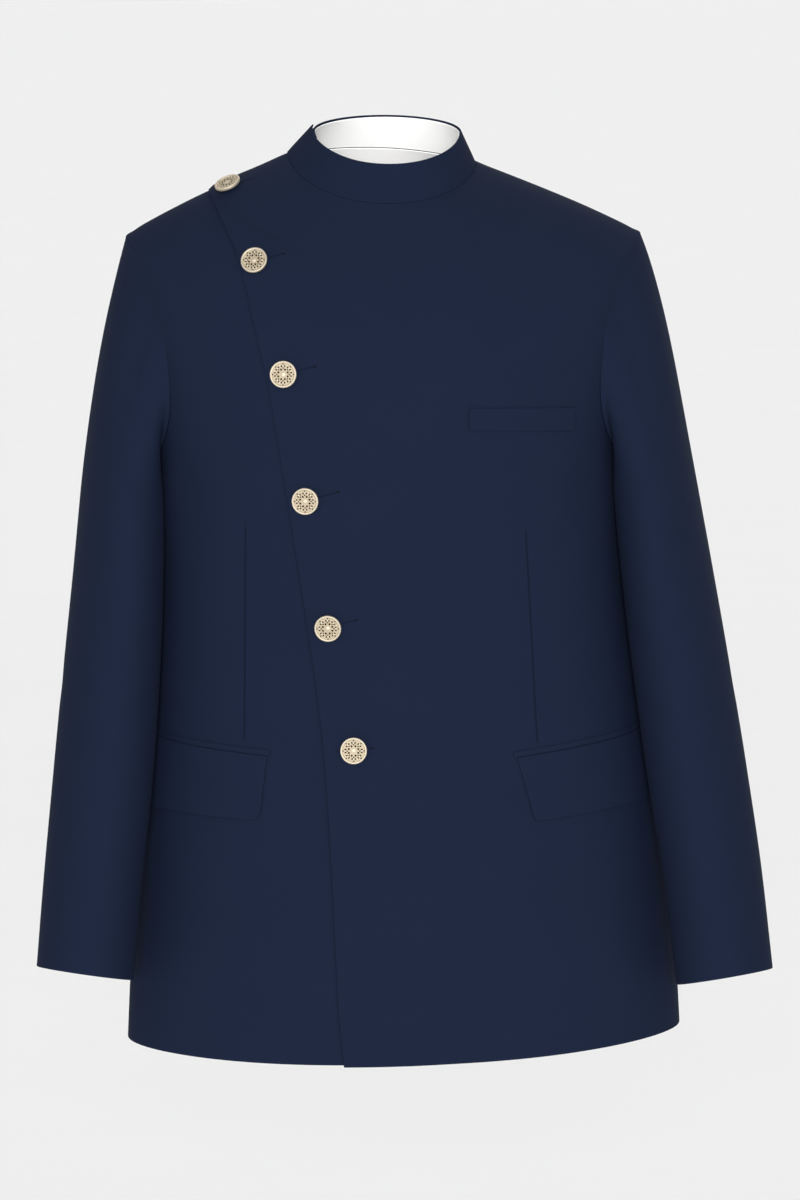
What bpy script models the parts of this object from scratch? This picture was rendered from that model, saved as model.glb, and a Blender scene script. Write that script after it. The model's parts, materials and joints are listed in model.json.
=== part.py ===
"""Jodhpuri jacket: a fitted coat with a stand collar and a slanting front that buttons up to the
shoulder, filled out as if worn and open at the neck, cuffs and hem.

Metres, +Z up. The front faces -Y and +X is the right of someone who looks at the front.
The origin is the middle of the neck, level with the inner ends of the shoulder seams.
Tables and sizes are in millimetres.
"""

import functools
import math
from collections import namedtuple

import bmesh
import bpy
from mathutils import Matrix, Vector

MM = 0.001

# Cloth thicknesses and gaps
BODY_WALL = 2.0
SLEEVE_WALL = 1.8
COLLAR_WALL = 1.6
LINING_WALL = 1.0
FLAP_WALL = 1.8
JET_WALL = 1.0
WELT_WALL = 1.4
SEAM_GAP = 0.3
COLLAR_GAP = 0.8
LINING_GAP = 0.9
LAYER_GAP = 0.8
PATCH_GAP = 0.45
LIFT = BODY_WALL + LAYER_GAP

# The body's form: one row for each level, from the hem up to the neck seam.
# side is the height at the side line, centre the sideways place of the level's middle,
# half the half width, front and back the depths, square the roundness of the outline (2 is an
# ellipse), dip_front and dip_back how much lower the middle lies than the side, fall the power
# of that dip, lean the slope of the level from left to right, seam the angle of the side line.
Level = namedtuple("Level", "name side centre half front back square dip_front dip_back fall lean seam")
FORM = [
    Level("hem", -752, 8.5, 239.0, 108, 98, 2.3, -13, -5, 2.3, 0.016, 98),
    Level("cuff_line", -713, 8.8, 237.0, 108, 98, 2.3, -10, -4, 2.2, 0.013, 98),
    Level("seat", -636, 9.0, 231.0, 108, 98, 2.3, -6, -2, 2.0, 0.008, 98),
    Level("pocket", -541, 8.0, 221.0, 106, 94, 2.3, -3, -1, 2.0, 0.003, 97),
    Level("waist", -455, 6.0, 210.0, 106, 89, 2.3, 0, 0, 2.0, 0.002, 96),
    Level("ribs", -378, 4.0, 202.0, 115, 93, 2.3, 0, 0, 2.0, 0.0, 95),
    Level("low_chest", -318, 2.5, 199.0, 124, 103, 2.3, 0, 0, 2.0, 0.0, 94),
    Level("armpit", -262, 1.0, 199.0, 128, 112, 2.3, 0, 0, 2.0, 0.0, 93),
    Level("chest", -212, 0.5, 204.0, 129, 115, 2.3, -6, -4, 1.9, 0.0, 93),
    Level("blades", -160, 0.5, 210.0, 128, 115, 2.3, -30, -15, 1.75, 0.0, 92.5),
    Level("upper_chest", -108, 0.8, 215.0, 125, 112, 2.25, -59, -29, 1.6, -0.003, 92),
    Level("shoulder_tip", -66.5, 1.0, 219.0, 121, 108, 2.07, -79, -43, 1.5, -0.006, 91),
    Level("outer_yoke", -39.8, 0.6, 172.0, 106, 98, 2.06, -58, -14, 1.85, -0.017, 90.5),
    Level("mid_yoke", -24.6, 0.5, 137.0, 94, 87, 2.07, -50, -1.5, 1.85, -0.024, 90),
    Level("inner_yoke", -12.0, 0.4, 106.0, 82, 76, 2.06, -43, 5.5, 1.65, -0.030, 90),
    Level("neck", -1.5, 0.4, 80.0, 72, 66, 2.05, -35, 9.7, 1.15, -0.050, 90),
]
LEVELS = {level.name: index for index, level in enumerate(FORM)}
HEM, ARMPIT, TIP, NECK = (LEVELS[name] for name in ("hem", "armpit", "shoulder_tip", "neck"))

# The armhole: how far it cuts in front of and behind the side line, in degrees
ARMHOLE_FRONT = 35.5
ARMHOLE_BACK = 34.0
ARMHOLE_STEPS = 12

# The slanting edge of the front, from the shoulder seam down to the hem: height and sideways place
Edge = namedtuple("Edge", "height across")
PLACKET = [
    Edge(-765, -42.5),
    Edge(-715, -46.6),
    Edge(-622, -49.9),
    Edge(-515, -54.6),
    Edge(-452, -60.1),
    Edge(-383, -68.7),
    Edge(-285, -82.2),
    Edge(-189, -96.7),
    Edge(-123, -111.0),
    Edge(-80, -121.5),
    Edge(-54, -133.0),
    Edge(-24, -148.5),
]
# How far the underlap reaches beneath it, down the front and at the neck; how far past that the
# overlap's lift goes on and then fades; the least width of a column; how much lower its hem is
UNDERLAP = 36.0
UNDERLAP_AT_NECK = 26.0
LIFT_MARGIN = 5.0
LIFT_FADE = 62.0
LEAST_COLUMN = 0.3
HEM_STEP = 1.4

# The stand collar: its top ring, and the degrees where its ends lie
Ring = namedtuple("Ring", "side centre half front back square dip_front dip_back fall lean")
COLLAR_TOP = Ring(23.8, 5.4, 62.5, 62, 52, 2.0, -27.4, 11.4, 1.0, -0.025)
COLLAR_ENDS = (-99.0, 284.0)
COLLAR_LINING_ENDS = (-73.5, 282.5)
COLLAR_STEP = 9
COLLAR_HEIGHT = 33
COLLAR_SHARES = (0.2, 0.45, 0.72)
# The lining behind the neck: its span, the level of its foot and its grid
BACK_LINING_SPAN = (101.0, 259.0)
BACK_LINING_FOOT = 12.2
BACK_LINING_GRID = (14, 5)

# The sleeves: one row for each section, from the bicep down to the cuff.
# level is the height of the section's middle, sway the sideways place of the body's middle there,
# out the distance from it, fore how far forward, half_out and half_fore the half widths, turn the
# degrees the front edge turns inwards, slant and rise how much higher than the middle the outer
# side and the front are.
Sleeve = namedtuple("Sleeve", "name level sway out fore half_out half_fore turn slant rise")
SLEEVE = [
    Sleeve("bicep", -285, 2.4, 226.0, -17, 36.0, 66, 9, 0, 0),
    Sleeve("above_elbow", -345, 4.4, 232.9, -28, 36.9, 63, 11, 1, 1),
    Sleeve("elbow", -430, 6.6, 242.4, -44, 38.9, 59, 12, 2, 2),
    Sleeve("forearm", -520, 8.6, 252.7, -60, 40.2, 55, 12, 4, 3),
    Sleeve("low_forearm", -610, 9.9, 263.7, -75, 39.7, 52, 10, 6, 5),
    Sleeve("cuff", -692, 10.2, 271.8, -88, 39.3, 49, 8, 7, 6),
]
# How much higher each cuff hangs than the table says, in millimetres: left and right
CUFF_LIFT = {-1: 6.0, 1: -4.5}
# The gap between body and sleeve, how softly it is kept, and the levels it is measured from
SLEEVE_CLEAR = 2.6
SLEEVE_SOFT = 3.0
LEVEL_PARTS = 16
# How steeply the sleeve leaves the body's surface, in degrees: at the shoulder and at the underarm
LEAVE_TOP = 20.0
LEAVE_FOOT = 90.0
# The seams of the two sleeve pieces and the columns between them, as turns round the arm from the
# shoulder tip forwards, and the rows of the cap and the arm
FRONT_SLEEVE_SEAM = 165
BACK_SLEEVE_SEAM = -90
SLEEVE_STEP = 15
CAP_STEPS = (0.0, 0.06, 0.13, 0.22, 0.36, 0.52, 0.68, 0.84, 1.0)
ARM_STEPS = 9

# Pockets: the inner top corner, length along the waist, and the depth down from it
Pocket = namedtuple("Pocket", "side inner top slope_top length depth slant slope_foot corner")
FLAPS = [
    Pocket(-1, 103.5, -501.0, 0.095, 144, 55.0, 0.09, 0.05, 7.0),
    Pocket(1, 107.5, -505.0, 0.115, 144, 56.0, 0.19, 0.10, 3.0),
]
JET_HEIGHT = 4.6
JET_OVERHANG = 2.5
FLAP_FLARE = 0.7
FLAP_GRID = (14, 7)
JET_GRID = (14, 1)
WELT_GRID = (9, 2)
WELT = Pocket(1, 70.6, -206.6, -0.030, 99, 18.4, 0.0, -0.045, 1.0)

# Buttons: the place on the front, from the shoulder down, how far the flat faces of the cloth's wall
# lie inside its form there, and the button's own sizes
Button = namedtuple("Button", "across height sink")
BUTTONS = [
    Button(-128.8, -20.0, 0.35),
    Button(-106.6, -84.5, 0.9),
    Button(-83.1, -176.8, 0.1),
    Button(-66.6, -282.0, 0.1),
    Button(-49.8, -389.9, 0.08),
    Button(-30.0, -495.5, 0.0),
]
BUTTON_RADIUS = 11.3
BUTTON_THICK = 2.6
BUTTON_RIM = 1.5
BUTTON_RIM_HEIGHT = 0.7
SHANK_RADIUS = 3.2
SHANK_LENGTH = 2.2
TURN_STEPS = 20

# Columns of the panels: the part beside the overlap, where both fronts lie, where the lift fades,
# the rest of the front, and each half of the back; and the rows between the levels of FORM
LEFT_COLUMNS = 6
SHARED_COLUMNS = 3
FADE_COLUMNS = 4
FRONT_COLUMNS = 9
BACK_COLUMNS = 9
ROWS_BELOW = (1, 2, 3, 3, 3, 2, 2)


def clear_scene():
    for thing in list(bpy.data.objects):
        bpy.data.objects.remove(thing, do_unlink=True)


def smooth(low, high, value):
    """0 below low, 1 above high, and a smooth rise between."""
    share = min(1.0, max(0.0, (value - low) / (high - low)))
    return share * share * (3 - 2 * share)


def between(values, places, at):
    """A smooth curve through values at rising places, with no overshoot."""
    last = len(places) - 2
    i = max(k for k in range(last + 1) if k == 0 or places[k] <= at)
    gaps = [places[k + 1] - places[k] for k in range(last + 1)]
    slopes = [(values[k + 1] - values[k]) / gaps[k] for k in range(last + 1)]

    def tangent(k):
        if k == 0:
            return slopes[0]
        if k == last + 1:
            return slopes[last]
        if slopes[k - 1] * slopes[k] <= 0:
            return 0.0
        return 2 * slopes[k - 1] * slopes[k] / (slopes[k - 1] + slopes[k])

    t = (at - places[i]) / gaps[i]
    if t < 0 or t > 1:
        return values[i] + slopes[i] * (at - places[i])
    return (
        (1 + 2 * t) * (1 - t) ** 2 * values[i]
        + t * (1 - t) ** 2 * gaps[i] * tangent(i)
        + t * t * (3 - 2 * t) * values[i + 1]
        + t * t * (t - 1) * gaps[i] * tangent(i + 1)
    )


@functools.lru_cache(maxsize=None)
def level_at(v):
    """The body's row at v, where whole numbers are the rows of FORM."""
    places = list(range(len(FORM)))
    numbers = [between([row[k] for row in FORM], places, v) for k in range(1, len(FORM[0]))]
    return Level("", *numbers)


def ring_point(ring, degrees):
    """A point of a level or ring: 0 degrees is the front, 90 the right side, 180 the back."""
    angle = math.radians(degrees)
    sine, cosine = math.sin(angle), math.cos(angle)
    reach = (abs(sine) ** ring.square + abs(cosine) ** ring.square) ** (-1 / ring.square)
    ahead = cosine > 0
    x = ring.half * reach * sine
    y = -(ring.front if ahead else ring.back) * reach * cosine
    dip = (ring.dip_front if ahead else ring.dip_back) * min(1.0, abs(reach * cosine)) ** ring.fall
    return Vector((ring.centre + x, y, ring.side + dip + ring.lean * x))


def body_point(degrees, v):
    return ring_point(level_at(v), degrees)


def normal_of(surface, u, v, step_u, step_v, low, high):
    """The direction out of a surface at u, v, found from its neighbours."""
    along = surface(u + step_u, v) - surface(u - step_u, v)
    up = surface(u, min(high, v + step_v)) - surface(u, max(low, v - step_v))
    return along.cross(up).normalized()


@functools.lru_cache(maxsize=None)
def body_normal(degrees, v):
    return normal_of(body_point, degrees, v, 1.5, 0.08, HEM, NECK)


def on_body(degrees, v, out):
    """A point that lies out millimetres outside the body's form."""
    return body_point(degrees, v) + body_normal(degrees, v) * out


def bisect(low, high, test):
    """The value between low and high where test turns from true to false."""
    for _ in range(40):
        middle = (low + high) / 2
        if test(middle):
            low = middle
        else:
            high = middle
    return (low + high) / 2


def placket_across(height):
    return between([e.across for e in PLACKET], [e.height for e in PLACKET], height)


@functools.lru_cache(maxsize=None)
def placket_angle(v):
    """The angle where the slanting edge crosses a level, or the shoulder seam above its end."""

    def outside(degrees):
        point = body_point(degrees, v)
        return point.x < placket_across(point.z)

    return bisect(-90, 0, outside) if outside(-90) else -90.0


def arc_to_degrees(length, degrees, v):
    """The angle that a length along a level spans near a place."""
    speed = (body_point(degrees + 1, v) - body_point(degrees - 1, v)).length / 2
    return length / speed


def armhole_reach(v, full):
    """How far the armhole cuts from the side line at a level, in degrees."""
    if not ARMPIT < v < TIP:
        return 0.0
    along = 2 * (v - ARMPIT) / (TIP - ARMPIT) - 1
    return full * math.sqrt(1 - abs(along) ** 3)


def front_limit(v):
    """The angle of the front's outer edge: side seam, armhole, then shoulder seam."""
    return level_at(v).seam - armhole_reach(v, ARMHOLE_FRONT)


def back_limit(v):
    return level_at(v).seam + armhole_reach(v, ARMHOLE_BACK)


@functools.lru_cache(maxsize=None)
def underlap_limit(v):
    """The angle of the underlap's hidden edge, beneath the slanting edge."""
    edge = placket_angle(v)
    length = UNDERLAP + (UNDERLAP_AT_NECK - UNDERLAP) * smooth(TIP, NECK, v)
    return edge + arc_to_degrees(length, edge, v)


def overlap_lift(degrees, v):
    """How far the overlap lies outside the form: a full layer over the underlap, then less."""
    edge = underlap_limit(v)
    fade = arc_to_degrees(LIFT_FADE, edge, v)
    margin = arc_to_degrees(LIFT_MARGIN, edge, v)
    return LIFT * (1 - smooth(edge + margin, edge + margin + fade, degrees))


def spread(start, end, steps):
    """Evenly spaced values from start up to end, without the last."""
    return [start + (end - start) * k / steps for k in range(steps)]


def front_angles(v):
    """The angles of both fronts at a level: those of the underlap and those of the overlap."""
    start = -front_limit(v) + arc_to_degrees(SEAM_GAP / 2, -front_limit(v), v)
    finish = front_limit(v) - arc_to_degrees(SEAM_GAP / 2, front_limit(v), v)
    edge = max(placket_angle(v), start + arc_to_degrees(LEAST_COLUMN * LEFT_COLUMNS, start, v))
    hidden = underlap_limit(v)
    faded = hidden + arc_to_degrees(LIFT_MARGIN + LIFT_FADE, hidden, v)
    shared = spread(edge, hidden, SHARED_COLUMNS)
    under = spread(start, edge, LEFT_COLUMNS) + shared + [hidden]
    over = [max(placket_angle(v), start)] + shared[1:] + spread(hidden, faded, FADE_COLUMNS)
    over += spread(faded, finish, FRONT_COLUMNS) + [finish]
    return under, over


def panel_levels():
    """The levels that every body panel has points on."""
    meets = bisect(TIP, NECK, lambda v: body_point(-90, v).x < PLACKET[-1].across)
    below = [HEM + k + j / steps for k, steps in enumerate(ROWS_BELOW) for j in range(steps)]
    turns = [math.cos(math.pi * k / ARMHOLE_STEPS) for k in range(ARMHOLE_STEPS + 1)]
    beside = [ARMPIT + (TIP - ARMPIT) * (1 - turn) / 2 for turn in turns]
    above = [TIP + 0.6, TIP + 1.2, meets, TIP + 2.4, TIP + 3.2, NECK]
    return below + beside + above


def material(name, colour, roughness, metallic=0.0):
    made = bpy.data.materials.new(name)
    made.use_nodes = True
    shader = made.node_tree.nodes["Principled BSDF"]
    shader.inputs["Base Color"].default_value = (*colour, 1)
    shader.inputs["Roughness"].default_value = roughness
    shader.inputs["Metallic"].default_value = metallic
    made.diffuse_color = (*colour, 1)
    return made


def add_object(name, mesh, finish, collection):
    thing = bpy.data.objects.new(name, mesh)
    thing.data.materials.append(finish)
    collection.objects.link(thing)
    return thing


def wall(name, outer, inner, finish, collection):
    """A closed cloth wall between two grids of points."""
    rows, columns = len(outer), len(outer[0])
    shape = bmesh.new()
    out, back = (
        [[shape.verts.new(point * MM) for point in row] for row in grid] for grid in (outer, inner)
    )
    for skin in (out, back):
        for i in range(rows - 1):
            for j in range(columns - 1):
                shape.faces.new((skin[i][j], skin[i][j + 1], skin[i + 1][j + 1], skin[i + 1][j]))
    for i in (0, rows - 1):
        for j in range(columns - 1):
            shape.faces.new((out[i][j], out[i][j + 1], back[i][j + 1], back[i][j]))
    for j in (0, columns - 1):
        for i in range(rows - 1):
            shape.faces.new((out[i][j], out[i + 1][j], back[i + 1][j], back[i][j]))
    bmesh.ops.recalc_face_normals(shape, faces=shape.faces)
    mesh = bpy.data.meshes.new(name)
    shape.to_mesh(mesh)
    shape.free()
    mesh.shade_smooth()
    mesh.set_sharp_from_angle(angle=math.radians(50))
    return add_object(name, mesh, finish, collection)


def body_panel(name, angles_at, finish, collection, lift=None, hem=0.0):
    """A panel of the body, from the angles of its columns at a level."""
    outer, inner = [], []
    for v in panel_levels():
        angles = angles_at(v)
        offsets = [lift(angle, v) if lift else 0.0 for angle in angles]
        drop = Vector((0, 0, -hem if v == HEM else (-SEAM_GAP / 2 if v == NECK else 0)))
        outer.append([on_body(a, v, o) + drop for a, o in zip(angles, offsets)])
        inner.append([on_body(a, v, o - BODY_WALL) + drop for a, o in zip(angles, offsets)])
    return wall(name, outer, inner, finish, collection)


def back_angles(v):
    """The angles of the right half of the back at a level, from its side to the centre seam."""
    start = back_limit(v) + arc_to_degrees(SEAM_GAP / 2, back_limit(v), v)
    finish = 180 - arc_to_degrees(SEAM_GAP / 2, 180, v)
    return spread(start, finish, BACK_COLUMNS) + [finish]


def body_panels(cloth, collection):
    body_panel("front_overlap", lambda v: front_angles(v)[1], cloth, collection, overlap_lift, HEM_STEP)
    body_panel("front_underlap", lambda v: front_angles(v)[0], cloth, collection)
    body_panel("back_right", back_angles, cloth, collection)
    body_panel("back_left", lambda v: [360 - a for a in reversed(back_angles(v))], cloth, collection)


def armhole_place(side, turn):
    """The level and angle of the armhole seam, where turn 0 is the shoulder tip and 90 the front."""
    cosine = math.cos(math.radians(turn))
    v = ARMPIT + (TIP - ARMPIT) * (1 + cosine) / 2
    ahead = turn % 360 < 180
    reach = (ARMHOLE_FRONT if ahead else -ARMHOLE_BACK) * math.sqrt(max(0.0, 1 - abs(cosine) ** 3))
    return side * (level_at(v).seam - reach), v


def armhole_frame(side, turn):
    """The armhole seam's point, the way into the hole along the cloth, and the way out of it."""
    point = body_point(*armhole_place(side, turn))
    out = body_normal(*armhole_place(side, turn))
    along = body_point(*armhole_place(side, turn + 3)) - body_point(*armhole_place(side, turn - 3))
    middle = body_point(side * level_at((ARMPIT + TIP) / 2).seam, (ARMPIT + TIP) / 2)
    inward = along.cross(out).normalized()
    if inward.dot(middle - point) < 0:
        inward = -inward
    return point, inward, out


@functools.lru_cache(maxsize=None)
def fine_levels():
    return [level_at(HEM + k / LEVEL_PARTS) for k in range((TIP - HEM) * LEVEL_PARTS + 1)]


def side_of_body(y, z):
    """The middle of the body's side and its half width, at a place behind or before it."""
    levels = fine_levels()
    low, high = 0, len(levels) - 1

    def height(level):
        ahead = y < 0
        share = min(1.0, abs(y) / (level.front if ahead else level.back))
        return level.side + (level.dip_front if ahead else level.dip_back) * share**level.fall

    while high - low > 1:
        middle = (low + high) // 2
        if height(levels[middle]) < z:
            low = middle
        else:
            high = middle
    under, over = levels[low], levels[high]
    span = height(over) - height(under)
    part = min(1.0, max(0.0, (z - height(under)) / span))
    depths = [level.front if y < 0 else level.back for level in (under, over)]
    depth = depths[0] + (depths[1] - depths[0]) * part
    half = under.half + (over.half - under.half) * part
    share = min(1.0, abs(y) / depth)
    edge = half * (1 - share**under.square) ** (1 / under.square)
    return under.centre + (over.centre - under.centre) * part, edge


def clear_of_body(point, side, gap):
    """Moves a sleeve's point sideways until it is a gap outside the body, softly."""
    centre, edge = side_of_body(point.y, point.z)
    apart = (side * (point.x - centre) - edge - gap) / SLEEVE_SOFT
    moved = SLEEVE_SOFT * (apart if apart > 30 else math.log1p(math.exp(apart)))
    return Vector((centre + side * (edge + gap + moved), point.y, point.z))


@functools.lru_cache(maxsize=None)
def sleeve_row(w):
    places = list(range(len(SLEEVE)))
    numbers = [between([row[k] for row in SLEEVE], places, w) for k in range(1, len(SLEEVE[0]))]
    return Sleeve("", *numbers)


def arm_point(side, turn, w):
    """A point of a sleeve's section below the bicep, w in rows of SLEEVE."""
    row = sleeve_row(w)
    angle = math.radians(turn)
    out, ahead = row.half_out * math.cos(angle), row.half_fore * math.sin(angle)
    swing = math.radians(row.turn)
    across = out * math.cos(swing) - ahead * math.sin(swing)
    forward = ahead * math.cos(swing) + out * math.sin(swing)
    lift = CUFF_LIFT[side] * w / (len(SLEEVE) - 1)
    height = row.level + lift + row.slant * math.cos(angle) + row.rise * math.sin(angle)
    return Vector((row.sway + side * (row.out + across), row.fore - forward, height))


def sleeve_point(side, turn, w):
    """A point of the sleeve: w from 0 at the armhole to 1 at the bicep, then on down to the cuff."""
    if w >= 1:
        return clear_of_body(arm_point(side, turn, w - 1), side, SLEEVE_CLEAR)
    top = (1 + math.cos(math.radians(turn))) / 2
    seam, inward, out = armhole_frame(side, turn)
    rise = math.radians(LEAVE_TOP + (LEAVE_FOOT - LEAVE_TOP) * (1 - top) ** 1.2)
    leaving = inward * math.cos(rise) + out * math.sin(rise)
    start = seam + inward * SEAM_GAP + out * SEAM_GAP * (1 - top)
    end = arm_point(side, turn, 0)
    lower = arm_point(side, turn, 0.25)
    first = start + leaving * (7 + 35 * top**1.3)
    second = end + (end - lower).normalized() * (6 + 84 * top**1.2)
    curve = (
        start * (1 - w) ** 3
        + first * 3 * w * (1 - w) ** 2
        + second * 3 * w * w * (1 - w)
        + end * w**3
    )
    if w == 0:
        return curve
    cleared = clear_of_body(curve, side, SLEEVE_CLEAR * smooth(0, 0.16, w))
    return curve.lerp(cleared, smooth(0, 0.08, w))


def sleeve_normal(side, turn, w):
    def surface(u, row):
        return sleeve_point(side, u, row)

    return normal_of(surface, turn, w, 2.0, 0.03, 0.0, len(SLEEVE)) * -side


def sleeve_rows():
    last = len(SLEEVE)
    return list(CAP_STEPS) + [1 + (last - 1) * (k + 1) / ARM_STEPS for k in range(ARM_STEPS)]


def sleeve_piece(name, side, start, end, cloth, collection):
    """One piece of a sleeve between two seams, given as turns round the arm."""
    outer, inner = [], []
    for w in sleeve_rows():
        turns = [float(t) for t in range(start, end + 1, SLEEVE_STEP)]
        around = (sleeve_point(side, turns[0] + 1, w) - sleeve_point(side, turns[0] - 1, w)).length / 2
        turns[0] += SEAM_GAP / 2 / around
        turns[-1] -= SEAM_GAP / 2 / around
        points = [sleeve_point(side, t, w) for t in turns]
        normals = [sleeve_normal(side, t, w) for t in turns]
        outer.append(points)
        inner.append([p - n * SLEEVE_WALL for p, n in zip(points, normals)])
    return wall(name, outer, inner, cloth, collection)


def sleeves(cloth, collection):
    for side, word in ((-1, "left"), (1, "right")):
        sleeve_piece(f"top_sleeve_{word}", side, BACK_SLEEVE_SEAM, FRONT_SLEEVE_SEAM, cloth, collection)
        sleeve_piece(
            f"under_sleeve_{word}", side, FRONT_SLEEVE_SEAM, BACK_SLEEVE_SEAM + 360, cloth, collection
        )


def collar_point(degrees, share):
    """A point of the collar's outer face, share from 0 at the neck seam to 1 at the top."""
    foot = body_point(degrees, NECK)
    top = ring_point(COLLAR_TOP, degrees)
    return foot.lerp(top, share)


def collar_normal(degrees, share):
    out = normal_of(collar_point, degrees, share, 1.5, 0.1, 0, 1)
    return body_normal(wrapped(degrees), NECK).lerp(out, smooth(0, 0.3, share)).normalized()


def wrapped(degrees):
    """The same angle between -180 and 180."""
    return (degrees + 180) % 360 - 180


def collar_lift(degrees):
    """The collar's front end lies over its back end, as the overlap lies over the underlap."""
    return overlap_lift(degrees, NECK) if degrees < 90 else 0.0


def collar_angles(start, end):
    """Both ends and the whole steps between them, so that the collar's layers share their lines."""
    first = math.floor(start / COLLAR_STEP) + 1
    last = math.ceil(end / COLLAR_STEP) - 1
    steps = [k * COLLAR_STEP for k in range(first, last + 1)]
    return [start] + [a for a in steps if start + 2 < a < end - 2] + [end]


def collar_band(name, ends, shares, inset, thickness, finish, collection):
    outer, inner = [], []
    for share in shares:
        rows = []
        for depth in (inset, inset + thickness):
            rows.append(
                [
                    collar_point(a, share) + collar_normal(a, share) * (collar_lift(a) - depth)
                    for a in collar_angles(*ends)
                ]
            )
        outer.append(rows[0])
        inner.append(rows[1])
    return wall(name, outer, inner, finish, collection)


def collar(cloth, white, collection):
    shares = [COLLAR_GAP / COLLAR_HEIGHT, *COLLAR_SHARES, 1.0]
    collar_band("collar", COLLAR_ENDS, shares, 0.0, COLLAR_WALL, cloth, collection)
    inset = COLLAR_WALL + SEAM_GAP
    shares[-1] = 0.985
    collar_band("collar_lining", COLLAR_LINING_ENDS, shares, inset, LINING_WALL, white, collection)


def back_neck_lining(white, collection):
    """The white lining behind the neck, inside both back panels, with a curved foot."""
    start, end = BACK_LINING_SPAN
    columns, rows = BACK_LINING_GRID
    outer, inner = [], []
    for i in range(rows + 1):
        outer.append([])
        inner.append([])
        for j in range(columns + 1):
            angle = start + (end - start) * j / columns
            rise = 1.5 * (2 * j / columns - 1) ** 4
            v = BACK_LINING_FOOT + rise + (NECK - 0.02 - BACK_LINING_FOOT - rise) * i / rows
            inset = BODY_WALL + LINING_GAP
            outer[-1].append(on_body(angle, v, -inset))
            inner[-1].append(on_body(angle, v, -inset - LINING_WALL))
    return wall("back_neck_lining", outer, inner, white, collection)


def place_on_front(across, height):
    """The angle and level of a place on the front, from how far across and how high it is."""
    v = ARMPIT / 2
    degrees = 0.0
    for _ in range(6):
        v = bisect(HEM, NECK, lambda at: body_point(degrees, at).z < height)
        degrees = bisect(-90, 90, lambda at: body_point(at, v).x < across)
    return degrees, v


def patch(name, pocket, top, foot, grid, thickness, flare, finish, collection):
    """A flat piece that lies on a front panel: top and foot are its edges below the pocket's corner."""
    corner = place_on_front(pocket.side * pocket.inner, pocket.top)[0]
    columns, rows = grid
    outer, inner = [], []
    for i in range(rows + 1):
        down = i / rows
        if foot - top > 3 * pocket.corner:
            down = 1 - (1 - down) ** 1.6
        outer.append([])
        inner.append([])
        for j in range(columns + 1):
            along = (j / columns) ** 1.15
            drop = top + (foot - top) * down
            near_foot = max(0.0, pocket.corner - (foot - drop))
            rounding = pocket.corner - math.sqrt(max(0.0, pocket.corner**2 - near_foot**2))
            start = pocket.slant * drop + rounding
            run = start + (pocket.length - start) * along
            slope = pocket.slope_top + (pocket.slope_foot - pocket.slope_top) * down
            height = pocket.top + slope * run - drop
            v = bisect(HEM, TIP, lambda at: body_point(corner, at).z < height)
            degrees = corner + pocket.side * arc_to_degrees(run, corner + pocket.side * run * 0.12, v)
            v = bisect(HEM, TIP, lambda at: body_point(degrees, at).z < height)
            out = PATCH_GAP + flare * smooth(0.2, 1, down)
            outer[-1].append(on_body(degrees, v, out + thickness))
            inner[-1].append(on_body(degrees, v, out))
    return wall(name, outer, inner, finish, collection)


def pockets(cloth, collection):
    for flap in FLAPS:
        word = "left" if flap.side < 0 else "right"
        patch(f"flap_{word}", flap, 0.0, flap.depth, FLAP_GRID, FLAP_WALL, FLAP_FLARE, cloth, collection)
        jet = flap._replace(corner=0.5, slant=0.0, slope_foot=flap.slope_top, inner=flap.inner - JET_OVERHANG)
        top = -JET_HEIGHT - SEAM_GAP
        patch(f"jet_{word}", jet, top, -SEAM_GAP, JET_GRID, JET_WALL, 0.0, cloth, collection)
    patch("breast_welt", WELT, 0.0, WELT.depth, WELT_GRID, WELT_WALL, 0.0, cloth, collection)


def button_profile():
    """The outline of half a button from the middle of its face down to the foot of its shank."""
    face = SHANK_LENGTH + BUTTON_THICK
    rim = face + BUTTON_RIM_HEIGHT
    return [
        (0.0, face),
        (BUTTON_RADIUS - BUTTON_RIM - 0.3, face),
        (BUTTON_RADIUS - BUTTON_RIM, rim),
        (BUTTON_RADIUS - 0.4, rim),
        (BUTTON_RADIUS, rim - 0.5),
        (BUTTON_RADIUS, SHANK_LENGTH + 0.9),
        (BUTTON_RADIUS - 1.2, SHANK_LENGTH),
        (SHANK_RADIUS, SHANK_LENGTH),
        (SHANK_RADIUS, 0.0),
        (0.0, 0.0),
    ]


def button_mesh():
    """A turned button with a shank, on its own axis."""
    shape = bmesh.new()
    points = [shape.verts.new((r * MM, 0, z * MM)) for r, z in button_profile()]
    for first, second in zip(points, points[1:]):
        shape.edges.new((first, second))
    profile = bpy.data.meshes.new("button_profile")
    shape.to_mesh(profile)
    shape.free()
    return profile


def buttons(gold, collection):
    profile = button_mesh()
    profile.materials.append(gold)
    for number, place in enumerate(BUTTONS, 1):
        degrees, v = place_on_front(place.across, place.height)
        out = body_normal(degrees, v)
        foot = on_body(degrees, v, overlap_lift(degrees, v) + SEAM_GAP - place.sink)
        thing = bpy.data.objects.new(f"button_{number}", profile)
        thing.matrix_world = Matrix.Translation(foot * MM) @ out.to_track_quat("Z", "Y").to_matrix().to_4x4()
        screw = thing.modifiers.new("turned", "SCREW")
        screw.steps = screw.render_steps = TURN_STEPS
        screw.use_merge_vertices = True
        screw.merge_threshold = 0.00001
        screw.use_normal_calculate = True
        collection.objects.link(thing)


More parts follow.
